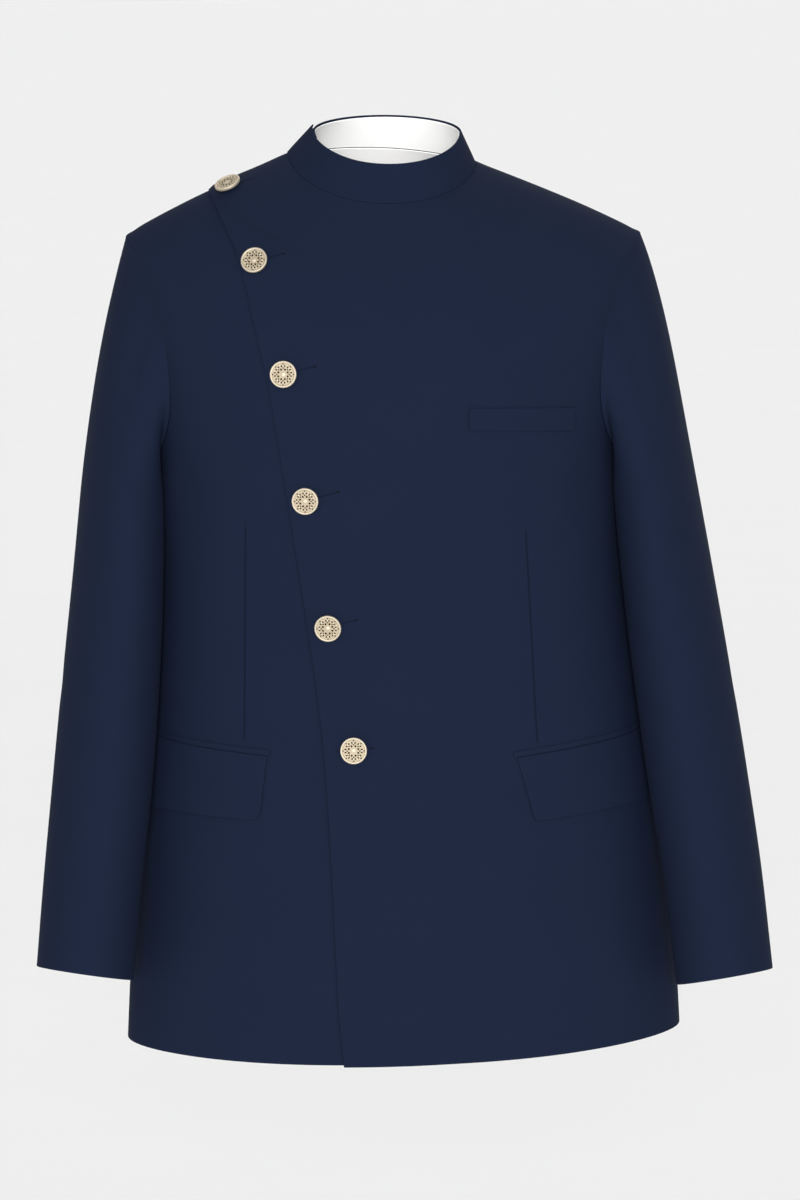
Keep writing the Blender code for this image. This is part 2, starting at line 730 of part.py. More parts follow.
def main():
    clear_scene()
    jacket = bpy.data.collections.new("jodhpuri_jacket")
    bpy.context.scene.collection.children.link(jacket)
    cloth = material("navy suiting", (0.0152, 0.0232, 0.0513), 0.85)
    white = material("white lining", (0.9, 0.9, 0.9), 0.7)
    gold = material("pale gilt brass", (0.75, 0.58, 0.33), 0.35, 1.0)
    body_panels(cloth, jacket)
    sleeves(cloth, jacket)
    collar(cloth, white, jacket)
    back_neck_lining(white, jacket)
    pockets(cloth, jacket)
    buttons(gold, jacket)


main()
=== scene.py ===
"""Jodhpuri jacket: the looks of its cloth, lining, sewing and buttons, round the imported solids.

Tables and sizes are in millimetres, in the frame that the solids share: the front faces -Y, +X is
the right of someone who looks at the front, and the origin is the middle of the neck. The shapes
follow the same rows and rules as the solids, on a finer grid.
"""

import functools
import json
import math
from collections import namedtuple

import bmesh
import bpy
import numpy as np
from mathutils import Matrix, Vector

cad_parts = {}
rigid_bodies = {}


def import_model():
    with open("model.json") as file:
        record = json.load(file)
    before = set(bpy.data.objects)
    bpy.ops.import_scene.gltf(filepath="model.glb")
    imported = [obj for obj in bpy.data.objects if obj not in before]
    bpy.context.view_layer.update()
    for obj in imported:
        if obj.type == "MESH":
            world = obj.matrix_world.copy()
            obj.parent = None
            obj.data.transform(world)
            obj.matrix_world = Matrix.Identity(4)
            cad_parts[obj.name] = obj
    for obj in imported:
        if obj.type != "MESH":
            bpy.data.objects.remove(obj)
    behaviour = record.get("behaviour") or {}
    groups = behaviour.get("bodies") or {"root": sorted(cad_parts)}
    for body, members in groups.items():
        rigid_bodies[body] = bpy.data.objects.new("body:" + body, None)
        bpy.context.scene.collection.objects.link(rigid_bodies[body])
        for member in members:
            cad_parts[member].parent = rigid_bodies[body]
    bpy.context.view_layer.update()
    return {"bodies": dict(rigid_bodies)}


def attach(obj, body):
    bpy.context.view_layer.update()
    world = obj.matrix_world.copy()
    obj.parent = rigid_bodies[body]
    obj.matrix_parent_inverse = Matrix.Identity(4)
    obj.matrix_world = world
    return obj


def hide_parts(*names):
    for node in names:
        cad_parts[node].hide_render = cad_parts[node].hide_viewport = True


bl_info = {
    "name": "Jodhpuri jacket looks",
    "version": (1, 0, 0),
    "blender": (4, 5, 0),
    "location": "View3D > Sidebar > Jacket",
    "description": "Cloth, lining, sewing and buttons of a jodhpuri jacket",
    "category": "Object",
}

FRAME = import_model()
BODY = next(iter(FRAME["bodies"]))
MM = 0.001

# Cloth thicknesses and gaps, as in the solids
BODY_WALL = 2.0
SLEEVE_WALL = 1.8
COLLAR_WALL = 1.6
LINING_WALL = 1.0
FLAP_WALL = 1.8
JET_WALL = 1.0
WELT_WALL = 1.4
SEAM_GAP = 0.3
CLOSE_GAP = 0.02
LINING_GAP = 0.9
LAYER_GAP = 0.8
PATCH_GAP = 0.45
LIFT = BODY_WALL + LAYER_GAP

# The body's form, from the hem up to the neck seam
Level = namedtuple("Level", "name side centre half front back square dip_front dip_back fall lean seam")
FORM = [
    Level("hem", -752, 8.5, 239.0, 108, 98, 2.3, -13, -5, 2.3, 0.016, 98),
    Level("cuff_line", -713, 8.8, 237.0, 108, 98, 2.3, -10, -4, 2.2, 0.013, 98),
    Level("seat", -636, 9.0, 231.0, 108, 98, 2.3, -6, -2, 2.0, 0.008, 98),
    Level("pocket", -541, 8.0, 221.0, 106, 94, 2.3, -3, -1, 2.0, 0.003, 97),
    Level("waist", -455, 6.0, 210.0, 106, 89, 2.3, 0, 0, 2.0, 0.002, 96),
    Level("ribs", -378, 4.0, 202.0, 115, 93, 2.3, 0, 0, 2.0, 0.0, 95),
    Level("low_chest", -318, 2.5, 199.0, 124, 103, 2.3, 0, 0, 2.0, 0.0, 94),
    Level("armpit", -262, 1.0, 199.0, 128, 112, 2.3, 0, 0, 2.0, 0.0, 93),
    Level("chest", -212, 0.5, 204.0, 129, 115, 2.3, -6, -4, 1.9, 0.0, 93),
    Level("blades", -160, 0.5, 210.0, 128, 115, 2.3, -30, -15, 1.75, 0.0, 92.5),
    Level("upper_chest", -108, 0.8, 215.0, 125, 112, 2.25, -59, -29, 1.6, -0.003, 92),
    Level("shoulder_tip", -67.2, 0.4, 220.0, 121, 108, 2.07, -79, -43, 1.5, -0.006, 91),
    Level("tip_edge", -60.2, 0.5, 211.0, 119, 107, 2.07, -77.5, -41, 1.52, -0.010, 91),
    Level("outer_yoke", -40.2, 0.6, 172.0, 106, 98, 2.06, -58, -14, 1.85, -0.017, 90.5),
    Level("mid_yoke", -24.6, 0.5, 137.0, 94, 87, 2.07, -50, -1.5, 1.85, -0.024, 90),
    Level("inner_yoke", -12.0, 0.4, 106.0, 82, 76, 2.06, -43, 5.5, 1.65, -0.030, 90),
    Level("neck", -1.5, 0.4, 80.0, 72, 66, 2.05, -35, 9.7, 1.15, -0.050, 90),
]
HEM, ARMPIT, TIP, NECK = 0, 7, 11, 16
ARMHOLE_FRONT = 35.5
ARMHOLE_BACK = 34.0
ARMHOLE_POWER = 3  # 2 is an ellipse, and more is a fuller curve

# The slanting edge, and how the overlap lies over the underlap
Edge = namedtuple("Edge", "height across")
PLACKET = [
    Edge(-765, -42.5),
    Edge(-715, -46.6),
    Edge(-622, -49.9),
    Edge(-515, -54.6),
    Edge(-452, -60.1),
    Edge(-383, -68.7),
    Edge(-285, -82.2),
    Edge(-189, -96.7),
    Edge(-123, -111.0),
    Edge(-80, -121.5),
    Edge(-54, -133.0),
    Edge(-24, -148.5),
]
UNDERLAP = 36.0
UNDERLAP_AT_NECK = 26.0
LIFT_MARGIN = 5.0
LIFT_FADE = 62.0
HEM_STEP = 1.4

# The collar's top ring and ends, and the lining behind the neck
Ring = namedtuple("Ring", "side centre half front back square dip_front dip_back fall lean")
COLLAR_TOP = Ring(23.8, 5.4, 62.5, 62, 52, 2.0, -27.4, 11.4, 1.0, -0.025)
COLLAR_ENDS = (-99.0, 284.0)
COLLAR_LINING_ENDS = (-73.5, 282.5)
COLLAR_HEIGHT = 33
BACK_LINING_SPAN = (101.0, 259.0)
BACK_LINING_FOOT = 13.2

# The sleeves, from the bicep down to the cuff
Sleeve = namedtuple("Sleeve", "name level sway out fore half_out half_fore turn slant rise")
SLEEVE = [
    Sleeve("bicep", -285, 2.4, 226.0, -17, 36.0, 66, 9, 0, 0),
    Sleeve("above_elbow", -345, 4.4, 232.9, -28, 36.9, 63, 11, 1, 1),
    Sleeve("elbow", -430, 6.6, 242.4, -44, 38.9, 59, 12, 2, 2),
    Sleeve("forearm", -520, 8.6, 252.7, -60, 40.2, 55, 12, 4, 3),
    Sleeve("low_forearm", -610, 9.9, 263.7, -75, 39.7, 52, 10, 6, 5),
    Sleeve("cuff", -692, 10.2, 271.8, -88, 39.3, 49, 8, 7, 6),
]
CUFF_LIFT = {-1: 6.0, 1: -4.5}
SLEEVE_CLEAR = 2.6
SLEEVE_SOFT = 3.0
LEVEL_PARTS = 16
LEAVE_TOP = {-1: 16.0, 1: 22.0}
LEAVE_FOOT = 90.0
FRONT_SLEEVE_SEAM = 165.0
BACK_SLEEVE_SEAM = -90.0

# Pockets: the inner top corner, length along the waist, and the depth down from it
Pocket = namedtuple("Pocket", "side inner top slope_top length depth slant slope_foot corner")
FLAPS = [
    Pocket(-1, 103.5, -501.0, 0.095, 144, 55.0, 0.09, 0.05, 7.0),
    Pocket(1, 107.5, -505.0, 0.115, 144, 56.0, 0.19, 0.10, 3.0),
]
JET_HEIGHT = 4.6
JET_OVERHANG = 2.5
JET_CORNER = 0.5
FLAP_FLARE = 0.7
WELT = Pocket(1, 70.6, -206.6, -0.030, 99, 18.4, 0.0, -0.045, 1.0)

# Buttons: the place on the front, how far the solid wall's flat faces lie inside its form there,
# and where the worked buttonhole starts and ends, seen from the button's middle
Button = namedtuple("Button", "across height sink hole_from hole_to")
BUTTONS = [
    Button(-128.8, -20.0, 0.35, (2.0, 1.0), (20.5, 7.0)),
    Button(-106.6, -84.5, 0.9, (1.0, 0.3), (23.5, 6.6)),
    Button(-83.1, -176.8, 0.1, (1.0, 0.3), (25.2, 6.4)),
    Button(-66.6, -282.0, 0.1, (1.0, 0.3), (26.6, 7.0)),
    Button(-49.8, -389.9, 0.08, (1.0, 0.3), (23.4, 6.2)),
    Button(-30.0, -495.5, 0.0, (-14.4, -0.4), (15.4, 1.6)),
]
BUTTON_RADIUS = 11.3
BUTTON_THICK = 2.6
BUTTON_RIM = 1.5
BUTTON_RIM_HEIGHT = 0.7
SHANK_RADIUS = 3.2
SHANK_LENGTH = 2.2

# Darts: the top and the foot on the front, on each side
Dart = namedtuple("Dart", "top foot")
DARTS = {-1: Dart((-118.4, -294.5), (-123.1, -489.0)), 1: Dart((116.9, -306.6), (125.1, -494.0))}

# A flat cut: width, length and area in metres
Cut = namedtuple("Cut", "width length area")

# Soft creases of the cloth: where each starts and ends, how wide it is and how deep it lies.
# On the body the places are across and height, on a sleeve the turn round the arm and the height.
Crease = namedtuple("Crease", "start end width depth")
FRONT_CREASES = [
    Crease((-172, -236), (-158, -330), 13, 0.9),
    Crease((174, -238), (160, -338), 14, 1.0),
    Crease((-196, -420), (-150, -446), 12, 0.7),
    Crease((202, -430), (158, -452), 13, 0.8),
    Crease((-165, -120), (-150, -205), 11, 0.6),
    Crease((168, -118), (152, -212), 12, 0.7),
]
BACK_CREASES = [
    Crease((-168, -150), (-142, -268), 14, 1.3),
    Crease((170, -146), (140, -276), 15, 1.4),
    Crease((-150, -440), (-60, -456), 13, 1.2),
    Crease((64, -448), (156, -436), 12, 1.1),
    Crease((-110, -474), (-30, -486), 11, 0.9),
    Crease((36, -478), (118, -470), 12, 0.8),
]
SLEEVE_CREASES = {
    -1: [
        Crease((150, -395), (60, -418), 11, 1.1),
        Crease((-70, -430), (-10, -446), 12, 1.0),
        Crease((140, -452), (80, -470), 10, 0.9),
        Crease((-80, -520), (-30, -532), 12, 0.8),
    ],
    1: [
        Crease((148, -402), (70, -424), 12, 1.2),
        Crease((-66, -436), (-14, -452), 11, 0.9),
        Crease((142, -462), (88, -476), 10, 0.8),
        Crease((-84, -528), (-26, -544), 13, 0.9),
    ],
}

# The photo's camera: how far away, how high, how it is turned, where it looks and how tall its view is
CAMERA_DISTANCE = 5.0
CAMERA_ELEVATION = 6.0
CAMERA_ROLL = 0.8
CAMERA_TARGET = (0.0105, 0.0, -0.380)
VIEW_HEIGHT = 1.032
SENSOR = 36.0
FLOOR_HEIGHT = -1.45
FLOOR_CORNERS = ((-1, -1), (1, -1), (1, 1), (-1, 1))

# The strength of the light from the horizon, and the band above it where the sky's light takes over
HORIZON = 0.863
HORIZON_BAND = (0.02, 0.2)

# Soft lights: azimuth 0 is the front and 90 the right, then elevation, share of the key and softness
SUNS = [
    ("key", 0, 7, 0.8, 14),
    ("left_fill", -28, 12, 0.13, 50),
    ("right_fill", 28, 12, 0.13, 50),
    ("back_fill", 165, 48, 0.37, 60),
]
FLOOR_SIZE = 3000.0


def linear(code):
    """An sRGB hex colour such as #223344 as linear red, green and blue."""
    parts = [int(code[k : k + 2], 16) / 255 for k in (1, 3, 5)]
    return tuple(p / 12.92 if p <= 0.04045 else ((p + 0.055) / 1.055) ** 2.4 for p in parts)


# The user's sizes and colours


class JacketCloth(bpy.types.PropertyGroup):
    """The cloth and its creases"""

    suiting: bpy.props.FloatVectorProperty(
        name="Suiting", description="Colour of the wool suiting", subtype="COLOR", default=linear("#141c2f")
    )
    lining: bpy.props.FloatVectorProperty(
        name="Lining", description="Colour of the neck lining", subtype="COLOR", default=linear("#fdfcfa")
    )
    grid: bpy.props.FloatProperty(
        name="Grid", description="Spacing of the cloth's mesh", unit="LENGTH", default=0.0042, min=0.002
    )
    twill: bpy.props.FloatProperty(
        name="Twill", description="Spacing of the twill ribs", unit="LENGTH", default=0.0009, min=0.0002
    )
    creases: bpy.props.FloatProperty(
        name="Creases", description="Depth of the creases as a share of the table", default=1.0, min=0.0
    )


class JacketSewing(bpy.types.PropertyGroup):
    """The worked buttonholes"""

    thread: bpy.props.FloatVectorProperty(
        name="Thread", description="Colour of the twist", subtype="COLOR", default=linear("#182138")
    )
    pitch: bpy.props.FloatProperty(
        name="Pitch", description="Spacing of the stitches", unit="LENGTH", default=0.0007, min=0.0003
    )
    stitch: bpy.props.FloatProperty(
        name="Stitch", description="Length of a stitch", unit="LENGTH", default=0.0017, min=0.0005
    )
    twist: bpy.props.FloatProperty(
        name="Twist", description="Thickness of the thread", unit="LENGTH", default=0.00042, min=0.0001
    )


class JacketButtons(bpy.types.PropertyGroup):
    """The gilt buttons"""

    gilt: bpy.props.FloatVectorProperty(
        name="Gilt", description="Colour of the gilt brass", subtype="COLOR", default=linear("#cbc1ae")
    )
    ground: bpy.props.FloatVectorProperty(
        name="Ground", description="Colour of the sunk ground", subtype="COLOR", default=linear("#beb29c")
    )
    lobes: bpy.props.IntProperty(
        name="Lobes", description="Petals of the rosette", default=8, min=3, max=16
    )


class JacketStage(bpy.types.PropertyGroup):
    """The paper and the light"""

    paper: bpy.props.FloatVectorProperty(
        name="Backdrop", description="Colour of the paper", subtype="COLOR", default=linear("#f7f7f7")
    )
    key: bpy.props.FloatProperty(
        name="Key light", description="Strength of the broad front light", default=3.45, min=0.0
    )
    sky: bpy.props.FloatProperty(
        name="Soft light", description="Strength of the light from all round", default=0.45, min=0.0
    )


# The form, read at many places at once

# Rounds of a search between two values and of the two searches for a place on the front, and the
# nudges and longest steps, in nudges, of the last one
BISECT_ROUNDS = 30
FRONT_ROUNDS = 6
BESIDE_ROUNDS = 12
ANGLE_NUDGE = 0.5
LEVEL_NUDGE = 0.01
ANGLE_STEPS = 4
LEVEL_STEPS = 8


def curve_through(values, places, at):
    """Smooth curves through rows of values at rising places, with no overshoot."""
    values, places, at = (np.asarray(part, float) for part in (values, places, at))
    gaps = np.diff(places)
    slopes = np.diff(values, axis=0) / gaps[:, None]
    agree = slopes[:-1] * slopes[1:] > 0
    total = np.where(agree, slopes[:-1] + slopes[1:], 1.0)
    middle = np.where(agree, 2 * slopes[:-1] * slopes[1:] / total, 0.0)
    tangents = np.vstack([slopes[:1], middle, slopes[-1:]])
    i = np.clip(np.searchsorted(places, at, side="right") - 1, 0, len(gaps) - 1)
    gap = gaps[i][..., None]
    t = (at - places[i])[..., None] / gap
    smoothed = (
        (1 + 2 * t) * (1 - t) ** 2 * values[i]
        + t * (1 - t) ** 2 * gap * tangents[i]
        + t * t * (3 - 2 * t) * values[i + 1]
        + t * t * (t - 1) * gap * tangents[i + 1]
    )
    straight = values[i] + slopes[i] * t * gap
    return np.where((t < 0) | (t > 1), straight, smoothed)


def smooth(low, high, value):
    """0 below low, 1 above high, and a smooth rise between."""
    share = np.clip((value - low) / (high - low), 0.0, 1.0)
    return share * share * (3 - 2 * share)


def unit(vectors):
    return vectors / np.maximum(np.linalg.norm(vectors, axis=-1, keepdims=True), 1e-9)


def bisect(low, high, test):
    """The values between low and high where test turns from true to false."""
    low, high = np.array(low, float), np.array(high, float)
    for _ in range(BISECT_ROUNDS):
        middle = (low + high) / 2
        inside = test(middle)
        low = np.where(inside, middle, low)
        high = np.where(inside, high, middle)
    return (low + high) / 2


def level_at(v):
    """The body's rows at v, where whole numbers are the rows of FORM."""
    numbers = curve_through([row[1:] for row in FORM], range(len(FORM)), v)
    return Level("", *np.moveaxis(numbers, -1, 0))


def ring_point(ring, degrees):
    """Points of levels or of a ring: 0 degrees is the front, 90 the right side, 180 the back."""
    angle = np.radians(degrees)
    sine, cosine = np.sin(angle), np.cos(angle)
    reach = (np.abs(sine) ** ring.square + np.abs(cosine) ** ring.square) ** (-1 / ring.square)
    ahead = cosine > 0
    x = ring.half * reach * sine
    y = -np.where(ahead, ring.front, ring.back) * reach * cosine
    dip = np.where(ahead, ring.dip_front, ring.dip_back)
    dip = dip * np.minimum(1, np.abs(reach * cosine)) ** ring.fall
    return np.stack([ring.centre + x, y, ring.side + dip + ring.lean * x], -1)


def body_point(degrees, v):
    return ring_point(level_at(v), degrees)


def way_out(point, turn, place, nudge, step, ends):
    """The way out of a surface, from its points a nudge to either side and a step up and down."""
    low, high = ends
    along = point(turn + nudge, place) - point(turn - nudge, place)
    up = point(turn, np.minimum(high, place + step)) - point(turn, np.maximum(low, place - step))
    return unit(np.cross(along, up))


def body_normal(degrees, v):
    return way_out(body_point, degrees, v, nudge=1.5, step=0.08, ends=(HEM, NECK))


def placket_angle(v):
    """The angles where the slanting edge crosses levels, or the shoulder seam above its end."""

    def outside(degrees):
        point = body_point(degrees, v)
        edge = curve_through([[e.across] for e in PLACKET], [e.height for e in PLACKET], point[..., 2])
        return point[..., 0] < edge[..., 0]

    return bisect(np.full_like(v, -90.0), np.zeros_like(v), outside)


def arc_to_degrees(length, degrees, v):
    """The angle that a length along a level spans near a place."""
    return length * 2 / np.linalg.norm(body_point(degrees + 1, v) - body_point(degrees - 1, v), axis=-1)


def armhole_reach(v, full):
    along = 2 * (v - ARMPIT) / (TIP - ARMPIT) - 1
    return full * np.sqrt(np.clip(1 - np.abs(along) ** ARMHOLE_POWER, 0, 1))


def front_limit(v):
    return level_at(v).seam - armhole_reach(v, ARMHOLE_FRONT)


def back_limit(v):
    return level_at(v).seam + armhole_reach(v, ARMHOLE_BACK)


def underlap_limit(v):
    edge = placket_angle(v)
    length = UNDERLAP + (UNDERLAP_AT_NECK - UNDERLAP) * smooth(TIP, NECK, v)
    return edge + arc_to_degrees(length, edge, v)


def overlap_lift(degrees, v, edge=None):
    """How far the overlap lies outside the form: a full layer over the underlap, then less."""
    edge = underlap_limit(v) if edge is None else edge
    fade = arc_to_degrees(LIFT_FADE, edge, v)
    margin = arc_to_degrees(LIFT_MARGIN, edge, v)
    return LIFT * (1 - smooth(edge + margin, edge + margin + fade, degrees))


def place_on_front(across, height):
    """The angle and level of places on the front, from how far across and how high they are."""
    across, height = np.asarray(across, float), np.asarray(height, float)
    degrees = np.zeros_like(across)
    hem, neck, left, right = (np.full_like(across, value) for value in (HEM, NECK, -90, 90))
    for _ in range(FRONT_ROUNDS):
        v = bisect(hem, neck, lambda at: body_point(degrees, at)[..., 2] < height)
        degrees = bisect(left, right, lambda at: body_point(at, v)[..., 0] < across)
    return degrees, v


def place_beside(degrees, v, across, up):
    """The angle and level of places that lie across and up from a place, as seen from the front."""
    goal = body_point(degrees, v)[..., ::2] + np.stack([across, up], -1)
    degrees, v = degrees + np.zeros_like(across), v + np.zeros_like(across)
    for _ in range(BESIDE_ROUNDS):
        here = body_point(degrees, v)[..., ::2]
        by_angle = body_point(degrees + ANGLE_NUDGE, v)[..., ::2] - here
        by_level = body_point(degrees, v + LEVEL_NUDGE)[..., ::2] - here
        steps = np.linalg.solve(np.stack([by_angle, by_level], -1), (goal - here)[..., None])[..., 0]
        degrees = degrees + ANGLE_NUDGE * np.clip(steps[..., 0], -ANGLE_STEPS, ANGLE_STEPS)
        v = v + LEVEL_NUDGE * np.clip(steps[..., 1], -LEVEL_STEPS, LEVEL_STEPS)
    return degrees, v


# Cloth as thin closed shells

# Distances of the mesh's close lines from an edge, and how far in its rounding reaches at a seam,
# a seam that is pressed flush, a fold and the edge of a thin piece
EDGE_LINES = np.array((0.0, 0.03, 0.1, 0.22, 0.4, 0.7, 1.1, 2.0))
SEAM_ROUND = 0.35
FLUSH_ROUND = 0.03
FOLD_ROUND = 1.1
THIN_ROUND = 0.5

# Over which shares of its length a crease sets in and fades out, how high the bank beside its trough
# stands as a share of the depth, and how many widths beside it
CREASE_START = (-0.15, 0.35)
CREASE_END = (0.6, 1.2)
BANK_HEIGHT = 0.45
BANK_PLACE = 1.7
UV_MIDDLE = 500


def add_object(name, data):
    """A new object in the scene."""
    thing = bpy.data.objects.new(name, data)
    bpy.context.scene.collection.objects.link(thing)
    return thing


def filled(first, last, count):
    """Columns from the lines near one border to those near the other, with even ones between."""
    inner = np.linspace(0, 1, count)[1:-1]
    return np.concatenate([first, first[:, -1:] + (last[:, :1] - first[:, -1:]) * inner, last], axis=1)


def gaps_between(points):
    """How far each point lies from the first, along rows and along columns."""
    across = np.linalg.norm(np.diff(points, axis=1), axis=-1)
    down = np.linalg.norm(np.diff(points, axis=0), axis=-1)
    start = np.zeros((points.shape[0], 1))
    top = np.zeros((1, points.shape[1]))
    return np.hstack([start, np.cumsum(across, 1)]), np.vstack([top, np.cumsum(down, 0)])


def crease_depth(creases, first, second):
    """How deep the creases lie at places given by the two coordinates of their table."""
    depth = np.zeros_like(first)
    for crease in creases:
        (a, b), (c, d) = crease.start, crease.end
        length = math.hypot(c - a, d - b)
        along = ((first - a) * (c - a) + (second - b) * (d - b)) / length**2
        aside = ((first - a) * (d - b) - (second - b) * (c - a)) / length
        ends = smooth(*CREASE_START, along) * (1 - smooth(*CREASE_END, along))
        trough = np.exp(-((aside / crease.width) ** 2))
        bank = BANK_HEIGHT * np.exp(-(((aside - BANK_PLACE * crease.width) / crease.width) ** 2))
        depth += crease.depth * ends * (trough - bank)
    return depth


def shell(name, points, normals, lift, wall, rounds, material, extra=None):
    """A closed cloth wall with rounded edges. rounds are those of the left, right, first and last edge."""
    rows, columns = points.shape[:2]
    across, down = gaps_between(points)
    distances = (across, across[:, -1:] - across, down, down[-1:] - down)
    near = np.min([np.minimum(1, d / r) for d, r in zip(distances, rounds)], axis=0)
    cut = wall / 2 * (1 - np.sqrt(np.clip(1 - (1 - near) ** 2, 0, 1)))
    outer = points + normals * (lift - cut)[..., None]
    inner = points + normals * (lift - wall + cut)[..., None]
    vertices = np.concatenate([outer.reshape(-1, 3), inner[1:-1, 1:-1].reshape(-1, 3)]) * MM
    front = np.arange(rows * columns).reshape(rows, columns)
    back = front.copy()
    back[1:-1, 1:-1] = rows * columns + np.arange((rows - 2) * (columns - 2)).reshape(rows - 2, columns - 2)

    def quads(grid):
        corners = (grid[:-1, :-1], grid[:-1, 1:], grid[1:, 1:], grid[1:, :-1])
        return np.stack(corners, -1).reshape(-1, 4)

    i, j = rows // 2, columns // 2
    corner, beside, above = points[i, j], points[i, j + 1], points[i + 1, j]
    facing = np.cross(beside - corner, above - corner).dot(normals[i, j])
    skins = [quads(front), quads(back)[:, ::-1]]
    if facing < 0:
        skins = [skin[:, ::-1] for skin in skins]
    mesh = bpy.data.meshes.new(name)
    mesh.from_pydata(vertices.tolist(), [], np.concatenate(skins).tolist())
    flat = np.stack([across - across[:, columns // 2 : columns // 2 + 1] + UV_MIDDLE, down], -1) * MM
    corners = np.concatenate([flat.reshape(-1, 2), flat[1:-1, 1:-1].reshape(-1, 2)])
    layer = mesh.uv_layers.new(name="cut")
    index = np.empty(len(mesh.loops), np.int32)
    mesh.loops.foreach_get("vertex_index", index)
    layer.data.foreach_set("uv", corners[index].astype(np.float32).ravel())
    for key, values in (extra or {}).items():
        attribute = mesh.attributes.new(key, "FLOAT", "POINT")
        both = np.concatenate([values.ravel(), values[1:-1, 1:-1].ravel()])
        attribute.data.foreach_set("value", both.astype(np.float32))
    mesh.shade_smooth()
    mesh.materials.append(material)
    return add_object(name, mesh)


def finish_sheet(thing, node):
    """Attaches a cloth piece to its body and hides the solid that it stands for."""
    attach(thing, BODY)
    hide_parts(node)


# Materials

# Real sizes of what the patterns draw: tufts of the nap, broad shades in the cloth, the lining's
# threads and their fuzz, strands of the twist, marks on the metal, and spots in the paper
TUFT = 0.7
CLOUD = 50.0
LINING_THREAD = 0.26
LINING_FUZZ = 1.7
STRAND = 0.4
WEAR_MARK = 1.1
PAPER_SPOT = 333.0

# The spacing of a wave pattern's bands at scale 1, when they lie straight and diagonally
STRAIGHT_BANDS = math.tau / 20
DIAGONAL_BANDS = math.tau / (10 * math.sqrt(2))

# How dark the painted shadow in a buttonhole's slit and eyelet is, as a share of its thread's colour
SLIT_PAINTED_SHADOW = 0.2

# The relief of cloth, lining and metal: how much of it shows, and how deep it is in metres
CLOTH_RELIEF = (0.35, 0.0001)
LINING_RELIEF = (0.15, 0.00005)
METAL_RELIEF = (0.1, 0.00005)


def add_node(tree, kind, inputs=None, **settings):
    """Adds a node with its own settings, and sets or links its sockets by name or number."""
    node = tree.nodes.new(kind)
    for key, value in settings.items():
        setattr(node, key, value)
    for key, value in (inputs or {}).items():
        if isinstance(value, bpy.types.NodeSocket):
            tree.links.new(value, node.inputs[key])
        else:
            node.inputs[key].default_value = value
    return node


def new_material(name, inputs):
    """A material, its tree and its shader, with these inputs set by name."""
    material = bpy.data.materials.new(name)
    material.use_nodes = True
    shader = material.node_tree.nodes["Principled BSDF"]
    for key, value in inputs.items():
        shader.inputs[key].default_value = value
    return material, material.node_tree, shader


def join_up(tree, shader, colour, height=None, relief=(0.0, 0.0)):
    """Links a colour to a shader, and a pattern's height as the relief of its surface."""
    tree.links.new(colour, shader.inputs["Base Color"])
    if height:
        surface = {"Height": height, "Strength": relief[0], "Distance": relief[1]}
        tree.links.new(add_node(tree, "ShaderNodeBump", surface).outputs[0], shader.inputs["Normal"])


def place_on_cut(tree):
    """The place on the piece's flat cut, in millimetres."""
    place = add_node(tree, "ShaderNodeUVMap", uv_map="cut").outputs[0]
    return add_node(tree, "ShaderNodeVectorMath", {0: place, 3: 1 / MM}, operation="SCALE").outputs[0]


def shade(colour, share):
    """A linear colour made lighter or darker by a share, as red, green, blue and one."""
    return (*[min(1.0, part * share) for part in colour], 1)


# A dart's sewn line: how far beside it the line is full and gone, and at which shares of its length
# it is full at the top and starts to fade at the foot. Then how deep it is, and how much painted shade
# darkens it.
DART_BESIDE = (0.25, 1.1)
DART_FULL = (0.06, 0.99)
DART_DEPTH = 6.0
DART_PAINTED_SHADE = 0.55


def dart_line(tree):
    """1 on a dart's sewn line, fading at its ends, and 0 away from it."""
    beside = {1: DART_BESIDE[0], 2: DART_BESIDE[1], 3: 1.0, 4: 0.0}
    fades_in = {1: 0.0, 2: DART_FULL[0], 3: 0.0, 4: 1.0}
    fades_out = {1: DART_FULL[1], 2: 1.0, 3: 1.0, 4: 0.0}
    aside = add_node(tree, "ShaderNodeAttribute", attribute_name="dart_aside").outputs["Fac"]
    along = add_node(tree, "ShaderNodeAttribute", attribute_name="dart_along").outputs["Fac"]
    off = add_node(tree, "ShaderNodeMath", {0: aside}, operation="ABSOLUTE").outputs[0]
    line = add_node(tree, "ShaderNodeMapRange", {0: off, **beside}).outputs[0]
    top = add_node(tree, "ShaderNodeMapRange", {0: along, **fades_in}).outputs[0]
    foot = add_node(tree, "ShaderNodeMapRange", {0: along, **fades_out}).outputs[0]
    both = add_node(tree, "ShaderNodeMath", {0: top, 1: foot}, operation="MULTIPLY").outputs[0]
    return add_node(tree, "ShaderNodeMath", {0: line, 1: both}, operation="MULTIPLY").outputs[0]


